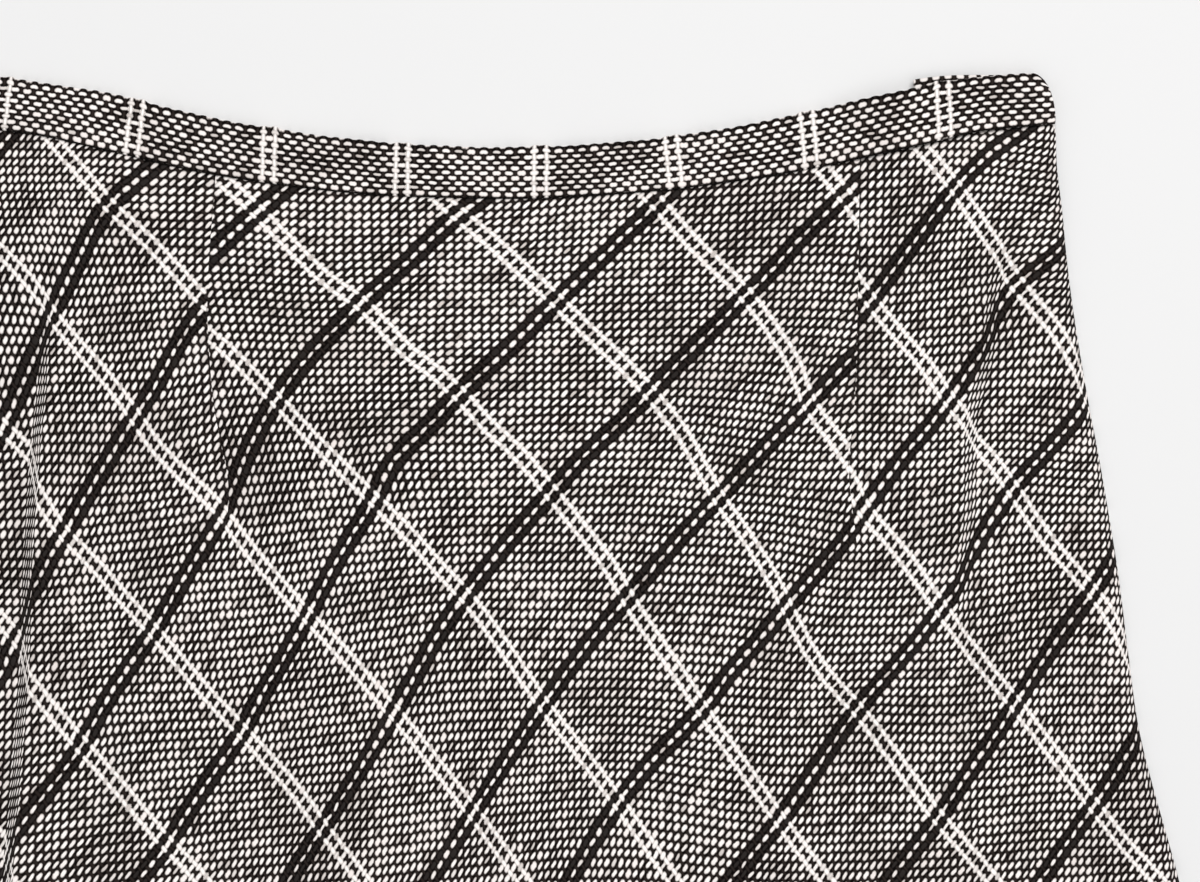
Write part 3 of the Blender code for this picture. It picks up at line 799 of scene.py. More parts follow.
@dataclass(frozen=True)
class WeaveFinish:
    """Plain weave of a fine dark warp and a slubby pale weft, with a check of paired threads."""

    name: str
    dark_pairs: bool = True
    ecru: Colour = (0.95, 0.872, 0.838)
    white: Colour = (0.985, 0.932, 0.90)
    # painted shade: the pale floats fade to this colour at their rims; it also dulls cloudy
    # patches and slack floats
    shade: Colour = (0.30, 0.24, 0.205)
    black: Colour = (0.023, 0.0165, 0.0142)
    charcoal: Colour = (0.025, 0.0205, 0.0188)
    # painted shade: the near black in the gaps between threads and at the rims of the dark warps
    rim_and_gap_shade: Colour = (0.0018, 0.0006, 0.0003)
    linked: Colour = (0.92, 0.85, 0.81)
    weft_half: float = 0.374
    weft_long: float = 0.82
    weft_point: float = 1.8
    warp_half: float = 0.34
    warp_long: float = 0.9
    warp_point: float = 2.2
    light_half: float = 0.43
    light_long: float = 0.72
    thick_from: float = 0.0
    thick_growth: float = 0.08
    slub: float = 0.26
    slub_run: float = 0.07
    slub_spread: float = 5.37
    cloudy: float = 0.15
    cloud_scale: float = 0.085
    knot_growth: float = 0.13
    slack_loss: float = 0.12
    thinnest: float = -0.10
    wander: float = 0.55
    wander_scale: float = 0.45
    fibre_along: float = 1.4
    fibre_across: float = 7.0
    fibre_depth: float = 0.45
    fibre_relief: float = 0.16
    relief: float = 0.0005

    def pair(self, wire: Wiring, count: Value) -> Value:
        """1 on the two threads of a stripe's pair, and 0 on the rest."""
        place = wire.maths("FLOORED_MODULO", count + 1.0, THREADS_PER_CHECK)
        return wire.maths("COMPARE", abs(place - 2.0), 1.0, 0.25)

    def nearest(self, wire: Wiring, across: Value, length: Value, odd: float) -> Crossing:
        """The nearest place where a thread lies on top.

        Args:
            wire: The material's wiring.
            across: The count across the threads of this kind.
            length: The count along them.
            odd: 1 if this kind is on top where the two counts add to an odd number, else 0.

        Returns:
            The crossing.
        """
        thread = wire.maths("ROUND", across)
        first = wire.maths("FLOORED_MODULO", thread + odd, 2.0)
        crossed = wire.maths("ROUND", (length - first) * 0.5) * 2.0 + first
        return Crossing(thread, crossed, across - thread, length - crossed)

    def dome(self, near: Crossing, half: Value, reach: Value, point: float) -> Value:
        """The height of a thread's float, 1 at its middle and 0 at its rim."""
        wide = near.off / half
        return 1.0 - wide * wide - abs(near.past / reach) ** point

    def make(self) -> Material:
        """The cloth's material, which reads thread counts from the piece's UV map.

        Returns:
            The material.
        """
        wire = Wiring(self.name)
        place = wire.node("UVMap", {}, uv_map="UVMap")
        even = [wire.node("SeparateXYZ", {0: place}, number) for number in (0, 1)]
        u, v = [count + (wire.noise(wire.vector(*even, level), self.wander_scale, 2.0) - 0.5)
                * self.wander for count, level in zip(even, (0.0, 9.0))]
        weft = self.nearest(wire, v, u, 0.0)
        warp = self.nearest(wire, u, v, 1.0)
        clouds = wire.noise(wire.vector(u, v, 4.0), self.cloud_scale, 2.0)
        fibre = wire.noise(wire.vector(u * self.fibre_along, v * self.fibre_across), 1.0, 3.0)
        tuft = (fibre - 0.5) * self.fibre_depth

        chance = wire.node("TexWhiteNoise", {"Vector": wire.vector(weft.crossed, weft.thread)},
                           noise_dimensions="2D")
        slack = (1.0 - chance) ** 7.0
        run = wire.noise(wire.vector(u * self.slub_run, weft.thread * self.slub_spread), 1.0, 2.0)
        plump = (run - 0.5) * (self.slub * 2.0) + (clouds - 0.5) * (self.cloudy * 2.0)
        plump = plump + chance ** 5.0 * self.knot_growth - slack * self.slack_loss
        if self.thick_from:
            plump = plump + wire.ramp(weft.thread, self.thick_from - 1.0, self.thick_from, 0.0,
                                      self.thick_growth)
        light_warp = self.pair(wire, warp.thread)
        weft_half = wire.maths("MAXIMUM", plump, self.thinnest) + self.weft_half
        weft_reach = plump * 0.2 + self.weft_long
        warp_half = light_warp * (self.light_half - self.warp_half) + self.warp_half
        warp_reach = light_warp * (self.light_long - self.warp_long) + self.warp_long
        weft_up = self.dome(weft, weft_half, weft_reach, self.weft_point)
        warp_up = self.dome(warp, warp_half, warp_reach, self.warp_point)

        pale = wire.blend(wire.ramp(plump, 0.02, 0.16), self.white, self.ecru)
        pale = wire.blend(wire.ramp(clouds, 0.34, 0.52, 0.8, 1.0), self.shade, pale)
        pale = wire.blend(slack * 0.5, pale, self.shade)
        # painted shade: each pale float goes from the shade colour at its rim to pale at its
        # middle
        weft_colour = wire.blend(wire.ramp(weft_up + tuft, -0.45, 0.82), self.shade, pale)
        link = light_warp
        if self.dark_pairs:
            dark_weft = self.pair(wire, weft.thread)
            weft_colour = wire.blend(dark_weft, weft_colour, self.charcoal)
            link = link * (1.0 - dark_weft)
        # painted shade on the warps: light ones go to the shade colour at their rims, dark ones
        # to the near black gap shade, lighter on top
        warp_pale = wire.blend(wire.ramp(warp_up + tuft, -0.3, 0.9), self.shade, self.white)
        warp_dark = wire.blend(wire.ramp(warp_up + tuft, 0.1, 1.1), self.rim_and_gap_shade, self.black)
        warp_colour = wire.blend(light_warp, warp_dark, warp_pale)
        threads = wire.blend(wire.ramp(weft_up - warp_up, -0.62, 0.55), warp_colour, weft_colour)
        middle = wire.maths("MINIMUM", abs(weft.off), abs(warp.off))
        link = link * wire.ramp(middle, 0.14, 0.42, 1.0, 0.0)
        # painted shadow in the gaps between threads, pale where a light warp meets the weft
        # floats
        gap_shade_and_link = wire.blend(link, self.rim_and_gap_shade, self.linked)
        highest = wire.maths("MAXIMUM", weft_up, warp_up)
        relief = wire.maths("MAXIMUM", highest, 0.0) ** 0.6 + fibre * self.fibre_relief
        return wire.surface({
            # painted shade: each thread's colour fades into the gap shadow where its float falls
            # low
            "Base Color": wire.blend(wire.ramp(highest, -0.34, 0.62), gap_shade_and_link, threads),
            "Roughness": 0.86,
            "Specular IOR Level": 0.07,
            "Sheen Weight": 0.02,
            "Normal": wire.bump(relief, self.relief, 0.7),
        })


@dataclass(frozen=True)
class TapeFinish:
    """Black knitted zip tape with fine ribs along it."""

    name: str = "zip_tape_black"
    colour: Colour = (0.012, 0.011, 0.0115)
    light: Colour = (0.035, 0.033, 0.033)
    ribs_per_metre: float = 1700.0

    def make(self) -> Material:
        """The tape's material on Object coordinates.

        Returns:
            The material.
        """
        wire = Wiring(self.name)
        where = wire.where()
        inputs = {"Vector": where, "Scale": self.ribs_per_metre / 6.0, "Distortion": 1.2,
                  "Detail": 2.0}
        ribs = wire.node("TexWave", inputs, "Fac", wave_type="BANDS", bands_direction="X")
        return wire.surface({
            "Base Color": wire.blend(ribs, self.colour, self.light),
            "Roughness": 0.82,
            "Sheen Weight": 0.12,
            "Normal": wire.bump(ribs + wire.noise(where, 2600.0, 2.0), 0.00012, 0.6),
        })


@dataclass(frozen=True)
class CoatedMetalFinish:
    """Black lacquer on zip metal, worn a little to grey in places."""

    name: str = "zip_black_lacquer"
    lacquer: Colour = (0.014, 0.0135, 0.013)
    worn: Colour = (0.16, 0.155, 0.15)

    def make(self) -> Material:
        """The lacquer's material on Object coordinates.

        Returns:
            The material.
        """
        wire = Wiring(self.name)
        where = wire.where()
        wear = wire.ramp(wire.noise(where, 900.0, 4.0), 0.60, 0.74)
        fine = wire.noise(where, 3200.0, 3.0)
        return wire.surface({
            "Base Color": wire.blend(wear, self.lacquer, self.worn),
            "Metallic": 0.35,
            "Roughness": wire.ramp(fine, 0.2, 0.8, 0.28, 0.46),
            "Coat Weight": 0.35,
            "Coat Roughness": 0.2,
            "Normal": wire.bump(fine, 0.00004, 0.5),
        })


@dataclass(frozen=True)
class CoilFinish:
    """Black nylon of the zip's coil."""

    name: str = "black_nylon"
    colour: Colour = (0.016, 0.015, 0.015)
    light: Colour = (0.04, 0.038, 0.037)

    def make(self) -> Material:
        """The nylon's material on Object coordinates.

        Returns:
            The material.
        """
        wire = Wiring(self.name)
        grain = wire.noise(wire.where(), 5200.0, 2.0)
        return wire.surface({
            "Base Color": wire.blend(grain, self.colour, self.light),
            "Roughness": wire.ramp(grain, 0.2, 0.8, 0.35, 0.55),
            "Normal": wire.bump(grain, 0.00003, 0.5),
        })


@dataclass(frozen=True)
class PaperFinish:
    """The pale seamless paper of the studio floor."""

    name: str = "pale_paper"
    colour: Colour = (0.795, 0.792, 0.79)
    shade: Colour = (0.785, 0.782, 0.78)

    def make(self) -> Material:
        """The paper's material on Object coordinates.

        Returns:
            The material.
        """
        wire = Wiring(self.name)
        mottle = wire.noise(wire.where(), 3.0, 3.0)
        return wire.surface({
            "Base Color": wire.blend(mottle, self.colour, self.shade),
            "Roughness": 0.9,
            "Specular IOR Level": 0.1,
        })


def clear_selection() -> None:
    """Leaves nothing selected."""
    bpy.ops.object.select_all(action="DESELECT")


def pick(obj: Object) -> None:
    """Selects one object alone and makes it active.

    Args:
        obj: The object.
    """
    clear_selection()
    obj.select_set(True)
    bpy.context.view_layer.objects.active = obj


@contextmanager
def editing(obj: Object) -> Iterator[None]:
    """Edit mode on one object, with all of it selected at the start.

    Args:
        obj: The object.

    Yields:
        Nothing, once the object is in edit mode.
    """
    pick(obj)
    bpy.ops.object.mode_set(mode="EDIT")
    bpy.ops.mesh.select_all(action="SELECT")
    yield
    bpy.ops.object.mode_set(mode="OBJECT")


def named(name: str) -> Object:
    """The object just added, under its name.

    Args:
        name: The name.

    Returns:
        The object.
    """
    obj = bpy.context.active_object
    obj.name = name
    obj.data.name = name
    return obj


def apply_modifier(obj: Object, kind: str, **settings: object) -> None:
    """Adds a modifier with its settings and applies it.

    Args:
        obj: The object.
        kind: The modifier's type.
        settings: The modifier's settings.
    """
    pick(obj)
    modifier = obj.modifiers.new(kind.lower(), kind)
    for name, value in settings.items():
        setattr(modifier, name, value)
    bpy.ops.object.modifier_apply(modifier=modifier.name)


def points_of(mesh: Mesh) -> Array:
    """A mesh's points as rows of three.

    Args:
        mesh: The mesh.

    Returns:
        The points.
    """
    points = np.zeros(len(mesh.vertices) * 3)
    mesh.vertices.foreach_get("co", points)
    return points.reshape(-1, 3)


def move_points(mesh: Mesh, points: Array) -> None:
    """Puts a mesh's points at new places."""
    mesh.vertices.foreach_set("co", points.ravel())


def lay_grid(name: str, points: Array, counts: Array, material: Material,
             facing_up: bool = True) -> Object:
    """A grid of cloth laid on given points.

    Args:
        name: The piece's name.
        points: Rows by columns of points in metres.
        counts: Rows by columns of thread counts, one set for each point, or by four corners
            with one set for each face.
        material: The cloth's material.
        facing_up: Whether the outer face looks up.

    Returns:
        The new object, a single sheet.
    """
    if counts.ndim == 3:
        counts = corner_counts(counts)
    rows, columns = points.shape[:2]
    clear_selection()
    bpy.ops.mesh.primitive_grid_add(x_subdivisions=columns - 1, y_subdivisions=rows - 1, size=2.0)
    obj = named(name)
    mesh = obj.data
    places = points_of(mesh)
    column = np.rint((places[:, 0] + 1) / 2 * (columns - 1)).astype(int)
    row = np.rint((1 - places[:, 1]) / 2 * (rows - 1)).astype(int)
    move_points(mesh, points[row, column])
    corners = np.zeros(len(mesh.loops), int)
    mesh.loops.foreach_get("vertex_index", corners)
    corners = corners.reshape(-1, 4)
    corner_row = row[corners]
    corner_column = column[corners]
    face_row = corner_row.min(axis=1)[:, None]
    face_column = corner_column.min(axis=1)[:, None]
    corner = (corner_row - face_row) * 2 + (corner_column - face_column)
    mesh.uv_layers[0].name = "UVMap"
    mesh.uv_layers[0].data.foreach_set("uv", counts[face_row, face_column, corner].ravel())
    if not facing_up:
        with editing(obj):
            bpy.ops.mesh.flip_normals()
    mesh.materials.clear()
    mesh.materials.append(material)
    bpy.ops.object.shade_smooth()
    mesh.update()
    return obj


def corner_counts(counts: Array) -> Array:
    """Each face's four corner counts from one count for each point."""
    return np.stack([counts[:-1, :-1], counts[:-1, 1:], counts[1:, :-1], counts[1:, 1:]], axis=2)


def close_tube(obj: Object) -> None:
    """Welds a grid wrapped round into a tube, and fills both ends with cloth of real size.

    Args:
        obj: The grid's object.
    """
    with editing(obj):
        bpy.ops.mesh.remove_doubles(threshold=1e-6)
        bpy.ops.mesh.select_all(action="DESELECT")
        bpy.ops.mesh.select_mode(type="EDGE")
        bpy.ops.mesh.select_non_manifold()
        bpy.ops.mesh.fill_holes(sides=0)
        bpy.ops.mesh.select_mode(type="VERT")
        bpy.ops.mesh.select_all(action="SELECT")
        bpy.ops.mesh.normals_make_consistent(inside=False)
    layer = obj.data.uv_layers["UVMap"].data
    for face in obj.data.polygons:
        if len(face.vertices) > 4:
            for loop, vertex in zip(face.loop_indices, face.vertices):
                place = obj.data.vertices[vertex].co / (THREAD_PITCH * MM)
                layer[loop].uv = (place.z, -place.y)


def settle(obj: Object, node: str | None) -> Object:
    """Puts a finished piece on the skirt's body and hides the CAD node it replaces.

    Args:
        obj: The piece.
        node: The CAD node it replaces, or None.

    Returns:
        The piece.
    """
    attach(obj, "skirt")
    if node:
        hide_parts(node)
    log.info("%s: %d faces", obj.name, len(obj.data.polygons))
    return obj


def lay_shell(name: str, points: Array, counts: Array, material: Material, thickness: float,
              facing_up: bool = True) -> Object:
    """A sheet of cloth with its thickness, in place of the CAD node of the same name.

    Args:
        name: The CAD node's name.
        points: Rows by columns of points in metres.
        counts: Thread counts, as for a grid.
        material: The cloth's material.
        thickness: The cloth's thickness.
        facing_up: Whether the outer face looks up.

    Returns:
        The finished piece.
    """
    obj = lay_grid(f"{name}_cloth", points, counts, material, facing_up)
    apply_modifier(obj, "SOLIDIFY", thickness=thickness * MM, offset=-1.0)
    return settle(obj, name)


def guided_columns(guides: list[Curve], steps: list[int]) -> list[tuple[Curve, Curve, float]]:
    """For each column the two guide lines beside it and its share between them.

    Args:
        guides: Functions that give x at d, from left to right.
        steps: The number of columns in each space between guides. A negative number rounds
            its space: the columns crowd to the first guide, or to the last in the last space.

    Returns:
        A list of first guide, second guide and share.
    """
    columns = []
    for number, count in enumerate(steps):
        for step in range(abs(count)):
            share = step / abs(count)
            if count < 0 and number == 0:
                share = 1.0 - math.cos(share * math.pi / 2)
            elif count < 0:
                share = math.sin(share * math.pi / 2)
            columns.append((guides[number], guides[number + 1], share))
    columns.append((guides[-2], guides[-1], 1.0))
    return columns


def row_shares(head: list[float], even: int, foot: list[float]) -> Array:
    """Shares of a panel's length for its rows: fine at both ends, and even between them.

    Args:
        head: Distances of the first rows from the waist.
        even: Spaces between the ends.
        foot: Distances of the last rows from the hem.

    Returns:
        The shares.
    """
    middle = np.linspace(head[-1] / HEM_CORNER, 1.0 - foot[0] / HEM_CORNER, even + 1)[1:-1]
    return np.concatenate([np.array(head) / HEM_CORNER, middle,
                           1.0 - np.array(foot) / HEM_CORNER])


def panel_grid(columns: list[tuple[Curve, Curve, float]], shares: Array,
               tucked_in: float) -> tuple[Array, Array]:
    """The x and d of a panel's points, from inside the band to the hem.

    Args:
        columns: For each column two guides and its share between them.
        shares: For each row its share of the length.
        tucked_in: How far the panel reaches into the band.

    Returns:
        The points' x and their d, in rows by columns.
    """
    xs = np.zeros((len(shares), len(columns)))
    ds = np.zeros_like(xs)
    for number, (first, second, share) in enumerate(columns):
        waist = first(WAIST_DEPTH) * (1 - share) + second(WAIST_DEPTH) * share
        waist = np.clip(waist, left_edge(CORNER_DEPTH), right_edge(CORNER_DEPTH))
        top = along(BAND_FOOT, waist) - tucked_in
        foot = hem_depth(first(HEM_CORNER) * (1 - share) + second(HEM_CORNER) * share)
        d = top + (foot - top) * shares
        ds[:, number] = d
        xs[:, number] = first(d) * (1 - share) + second(d) * share
    return xs, ds


@dataclass
class Panels:
    """The front and back of the skirt: thin shells of the woven cloth."""

    lay: Lay
    grain: Grain
    cloth: float = 1.0
    tucked_in: float = 1.8
    seam_rows: tuple[float, ...] = (0.0, 0.2, 0.6, 1.3, 2.3, 4.5)
    front_rows: int = 168
    back_rows: int = 110
    flat_size: Pair = (0.905, 1.0)
    flat_area: float = 0.665

    def front(self, material: Material) -> Object:
        """The front, with its darts, long folds and small creases.

        Args:
            material: The cloth's material.

        Returns:
            The finished piece.
        """
        half = self.lay.dart_half
        reach = self.lay.roll_reach
        left_fold, right_fold, left_dart, right_dart = [
            partial(along, table) for table in (LEFT_FOLD, RIGHT_FOLD, LEFT_DART, RIGHT_DART)]
        # Each row is a guide and the number of columns from it to the next one
        rows = [
            (left_edge, -7),
            (shifted(left_edge, reach), 5),
            (shifted(left_edge, 20.0), 7),
            (left_fold, 7),
            (shifted(left_fold, LEFT_FLANK), 14),
            (shifted(left_dart, -half), 3),
            (left_dart, 3),
            (shifted(left_dart, half), 56),
            (shifted(right_dart, -half), 3),
            (right_dart, 3),
            (shifted(right_dart, half), 12),
            (lambda d: np.minimum(right_fold(d) - RIGHT_FLANK, right_edge(d) - 27.0), 7),
            (lambda d: np.minimum(right_fold(d), right_edge(d) - 21.0), 4),
            (shifted(right_edge, -18.0), 5),
            (shifted(right_edge, -reach), -7),
            (right_edge, 0),
        ]
        guides = [guide for guide, _ in rows]
        columns = guided_columns(guides, [count for _, count in rows[:-1]])
        head = [self.tucked_in + step for step in self.seam_rows]
        shares = row_shares([0.0, *head], self.front_rows, [3.0, 1.6, 0.6, 0.0])
        xs, ds = panel_grid(columns, shares, self.tucked_in)
        seams = [sum(abs(count) for _, count in rows[:guides.index(dart)])
                 for dart in (left_dart, right_dart)]
        return lay_shell("front_panel", to_metres(xs, ds, self.lay.front(xs, ds)),
                         self.front_counts(xs, ds, *seams), material, self.cloth)

    def front_counts(self, xs: Array, ds: Array, left: int, right: int) -> Array:
        """Corner counts of the front's faces, cut at the two columns of the darts' seams.

        Args:
            xs: The points' x.
            ds: Their d.
            left: The left dart's column.
            right: The right dart's column.

        Returns:
            Four pairs of counts for each face.
        """
        parts = []
        for side, columns in zip(Side, (slice(left), slice(left, right), slice(right, None))):
            flat = self.grain.counts(xs.ravel(), ds.ravel(), side)
            parts.append(corner_counts(flat.reshape(*xs.shape, 2))[:, columns])
        return np.concatenate(parts, axis=1)

    def back(self, material: Material) -> Object:
        """The back, which rests on the floor and rolls up to the front at the sides.

        Args:
            material: The cloth's material.

        Returns:
            The finished piece.
        """
        reach = self.lay.roll_reach
        right = self.lay.back_right
        columns = guided_columns(
            [left_edge, shifted(left_edge, reach), shifted(right, -reach), right], [-7, 84, -7])
        shares = row_shares([0.0, 8.0, 16.0, 22.0, 28.0, 34.0], self.back_rows, [4.0, 0.0])
        xs, ds = panel_grid(columns, shares, self.tucked_in)
        counts = self.grain.back_counts(xs.ravel(), ds.ravel()).reshape(*xs.shape, 2)
        return lay_shell("back_panel", to_metres(xs, ds, self.lay.back(xs, ds)), counts,
                         material, self.cloth, False)

    def declare(self, front: Object, back: Object) -> None:
        """Does nothing with the two panels.

        Args:
            front: The front panel, which is not used.
            back: The back panel, which is not used.
        """


@dataclass(frozen=True)
class Station:
    """One section of a band: where it runs, how it stands and how its cloth is counted.

    It holds the points on the top and foot edges, the middle's height, the outward normal, the
    warp count at a share of the section, the top edge's lift and the closed end's bulge.
    """

    top: Pair
    foot: Pair
    height: float
    count: Callable[[float], float]
    normal: Pair = (0.0, 1.0)
    lift: float = 0.0
    bulge: float = 0.0


@dataclass
class Waistband:
    """The straight grain band: its front, its back, and the underlap at the closure."""

    thickness: float = 2.2
    rest: float = 2.5
    top_span: Pair = (-205.0, 203.5)
    foot_span: Pair = (-211.0, 208.6)
    top_round: float = 0.052
    foot_round: float = 0.024
    rim_turn: float = 0.012
    back_turn: float = 0.07
    foot_turn: float = 1.111
    rows: float = 9.0
    cushion: float = 0.22
    end_bulge: float = 1.7
    front_clearance: float = 0.25
    front_stations: int = 560
    climb: Pair = (42.0, 4.0)
    end_drop: float = 0.2
    end_drop_places: Pair = (196.0, 207.0)
    waves: tuple[tuple[float, float, float], ...] = ((0.10, 11.0, 0.0), (0.06, 4.3, 1.0))
    edge_wave: Pair = (0.006, 5.1)
    pair_lift: float = 0.035
    pair_reach: float = 3.0
    scallop: float = 0.009
    corner_fall: float = 0.20
    corner: Pair = (204.0, 4.5)
    bulge_places: Pair = (188.0, 203.5)
    back_stations: int = 200
    turn_inset: float = 1.5
    turn_steps: int = 12
    tab_start: float = 155.2
    tab_slant: float = 2.0
    tab_rise: float = 3.4
    tab_steps: int = 40
    tab_count: float = 11.0

    def ends(self, share: float) -> tuple:
        """The band's section at a share of its length: its points on the top and foot edges.

        Args:
            share: From 0 at the left end to 1 at the right.

        Returns:
            The two points.
        """
        return tuple((x, float(along(table, x))) for table, x in (
            (BAND_TOP, self.top_span[0] + (self.top_span[1] - self.top_span[0]) * share),
            (BAND_FOOT, self.foot_span[0] + (self.foot_span[1] - self.foot_span[0]) * share)))

    def profile(self) -> list[tuple[float, float, float]]:
        """The section of the folded strip.

        Returns:
            Rows of share from foot to top, height from the middle as a share of half the
            thickness, and share of the way round from the top edge.
        """
        crown = 1 - self.top_round
        flat = 1 - self.foot_round - self.top_round
        even = [step / 14 for step in range(15)]
        rows = [(self.foot_round + flat * share, 1.0, 1.0 - share) for share in even]
        for step in range(1, 6):
            turn = math.pi * step / 6
            rows.append((crown + self.top_round * math.sin(turn), math.cos(turn),
                         -self.rim_turn * step))
        rows += [(crown - flat * share, -1.0, -self.back_turn - share) for share in even]
        for step in range(1, 4):
            turn = math.pi * step / 4
            rows.append((self.foot_round - self.foot_round * math.sin(turn), -math.cos(turn),
                         -self.foot_turn))
        return [*rows, (self.foot_round, 1.0, -self.foot_turn)]

    def pair_count(self, x: float, share: float) -> float:
        """The warp count at x, at a share from the foot to the top of the band."""
        lines = [foot + (top - foot) * share for top, foot in BAND_PAIRS]
        return float(np.interp(x, lines, np.arange(len(lines)))) * THREADS_PER_CHECK + 1.0

    def counter(self, top: tuple, foot: tuple, extra: float = 0.0) -> Callable[[float], float]:
        """A function that gives the warp count at a share of this section."""
        return lambda share: self.pair_count(foot[0] + (top[0] - foot[0]) * share, share) + extra

    def strip(self, name: str, stations: list[Station], material: Material) -> Object:
        """A closed strip of folded cloth through its stations.

        Args:
            name: The piece's name.
            stations: The strip's sections from end to end.
            material: The band's material.

        Returns:
            The piece, not yet on its body.
        """
        profile = self.profile()
        points = np.zeros((len(profile), len(stations), 3))
        counts = np.zeros((len(profile), len(stations), 2))
        for column, station in enumerate(stations):
            (top_x, top_d), (foot_x, foot_d) = station.top, station.foot
            for row, (share, side, turn) in enumerate(profile):
                face = self.cushion * math.sin(math.pi * share) ** 0.5 if side > 0.9 else 0.0
                off = self.thickness / 2 * side + face
                stretch = share + station.lift * soft_step(0.6, 1.0, share)
                bulge = self.end_bulge * station.bulge * math.sin(math.pi * share) ** 0.7
                x = foot_x + (top_x - foot_x) * stretch + bulge + station.normal[0] * off
                d = foot_d + (top_d - foot_d) * stretch
                points[row, column] = to_metres(x, d, station.height + station.normal[1] * off)
                counts[row, column] = (station.count(share), turn * self.rows - 0.5)
        obj = lay_grid(name, points, counts, material)
        close_tube(obj)
        return obj

    def front(self, material: Material) -> Object:
        """The front of the band, which climbs over the underlap at the closure.

        Args:
            material: The band's material.

        Returns:
            The finished piece.
        """
        stations = []
        climb = [self.tab_start - distance for distance in self.climb]
        for number in range(self.front_stations + 1):
            top, foot = self.ends(number / self.front_stations)
            middle = (top[0] + foot[0]) / 2
            height = self.rest + self.thickness / 2 + self.front_clearance
            height += self.rest * float(soft_step(*climb, middle))
            height -= self.end_drop * float(soft_step(*self.end_drop_places, middle))
            height += sum(size * math.sin(middle / length + start)
                          for size, length, start in self.waves)
            near = min(abs(middle - (a + b) / 2) for a, b in BAND_PAIRS)
            lift = self.pair_lift * math.exp(-((near / self.pair_reach) ** 2))
            size, length = self.edge_wave
            lift += size * math.sin(middle / length)
            lift += self.scallop * math.cos(math.pi * self.pair_count(top[0], 1.0))
            place, reach = self.corner
            lift -= self.corner_fall * float(quarter_round(place - top[0], reach))
            stations.append(Station(top, foot, height, self.counter(top, foot), lift=lift,
                                    bulge=float(soft_step(*self.bulge_places, top[0]))))
        obj = self.strip("waistband_front_cloth", stations, material)
        return settle(obj, "waistband_front")

    def back(self, material: Material) -> Object:
        """The back of the band: along the floor, round the right end, and back as the underlap.

        Args:
            material: The band's material.

        Returns:
            The finished piece.
        """
        stations = []
        radius = self.rest / 2
        half = self.thickness / 2
        for number in range(self.back_stations):
            top, foot = self.ends(number / self.back_stations)
            stations.append(Station(top, foot, half, self.counter(top, foot)))
        top, foot = self.ends(1.0)
        shift = -self.turn_inset - radius
        for number in range(self.turn_steps + 1):
            turn = math.pi * number / self.turn_steps
            x = shift + radius * math.sin(turn)
            height = half + radius * (1 - math.cos(turn))
            count = self.counter(top, foot, turn * radius / THREAD_PITCH)
            stations.append(Station((top[0] + x, top[1]), (foot[0] + x, foot[1]), height, count,
                                    (-math.sin(turn), math.cos(turn))))
        for number in range(1, self.tab_steps + 1):
            share = number / self.tab_steps
            rise = self.tab_rise * float(soft_step(0.15, 1.0, share))
            ends = []
            for table, start, end in ((BAND_TOP, top[0], self.tab_start),
                                      (BAND_FOOT, foot[0], self.tab_start + self.tab_slant)):
                x = (start + shift) * (1 - share) + end * share
                ends.append((x, float(along(table, x)) - rise))
            stations.append(Station(*ends, half + self.rest,
                                    self.counter(*ends, self.tab_count), (0.0, -1.0)))
        obj = self.strip("waistband_back_cloth", stations, material)
        return settle(obj, "waistband_back")

    def declare(self, front: Object, back: Object) -> None:
        """Does nothing with the two strips."""


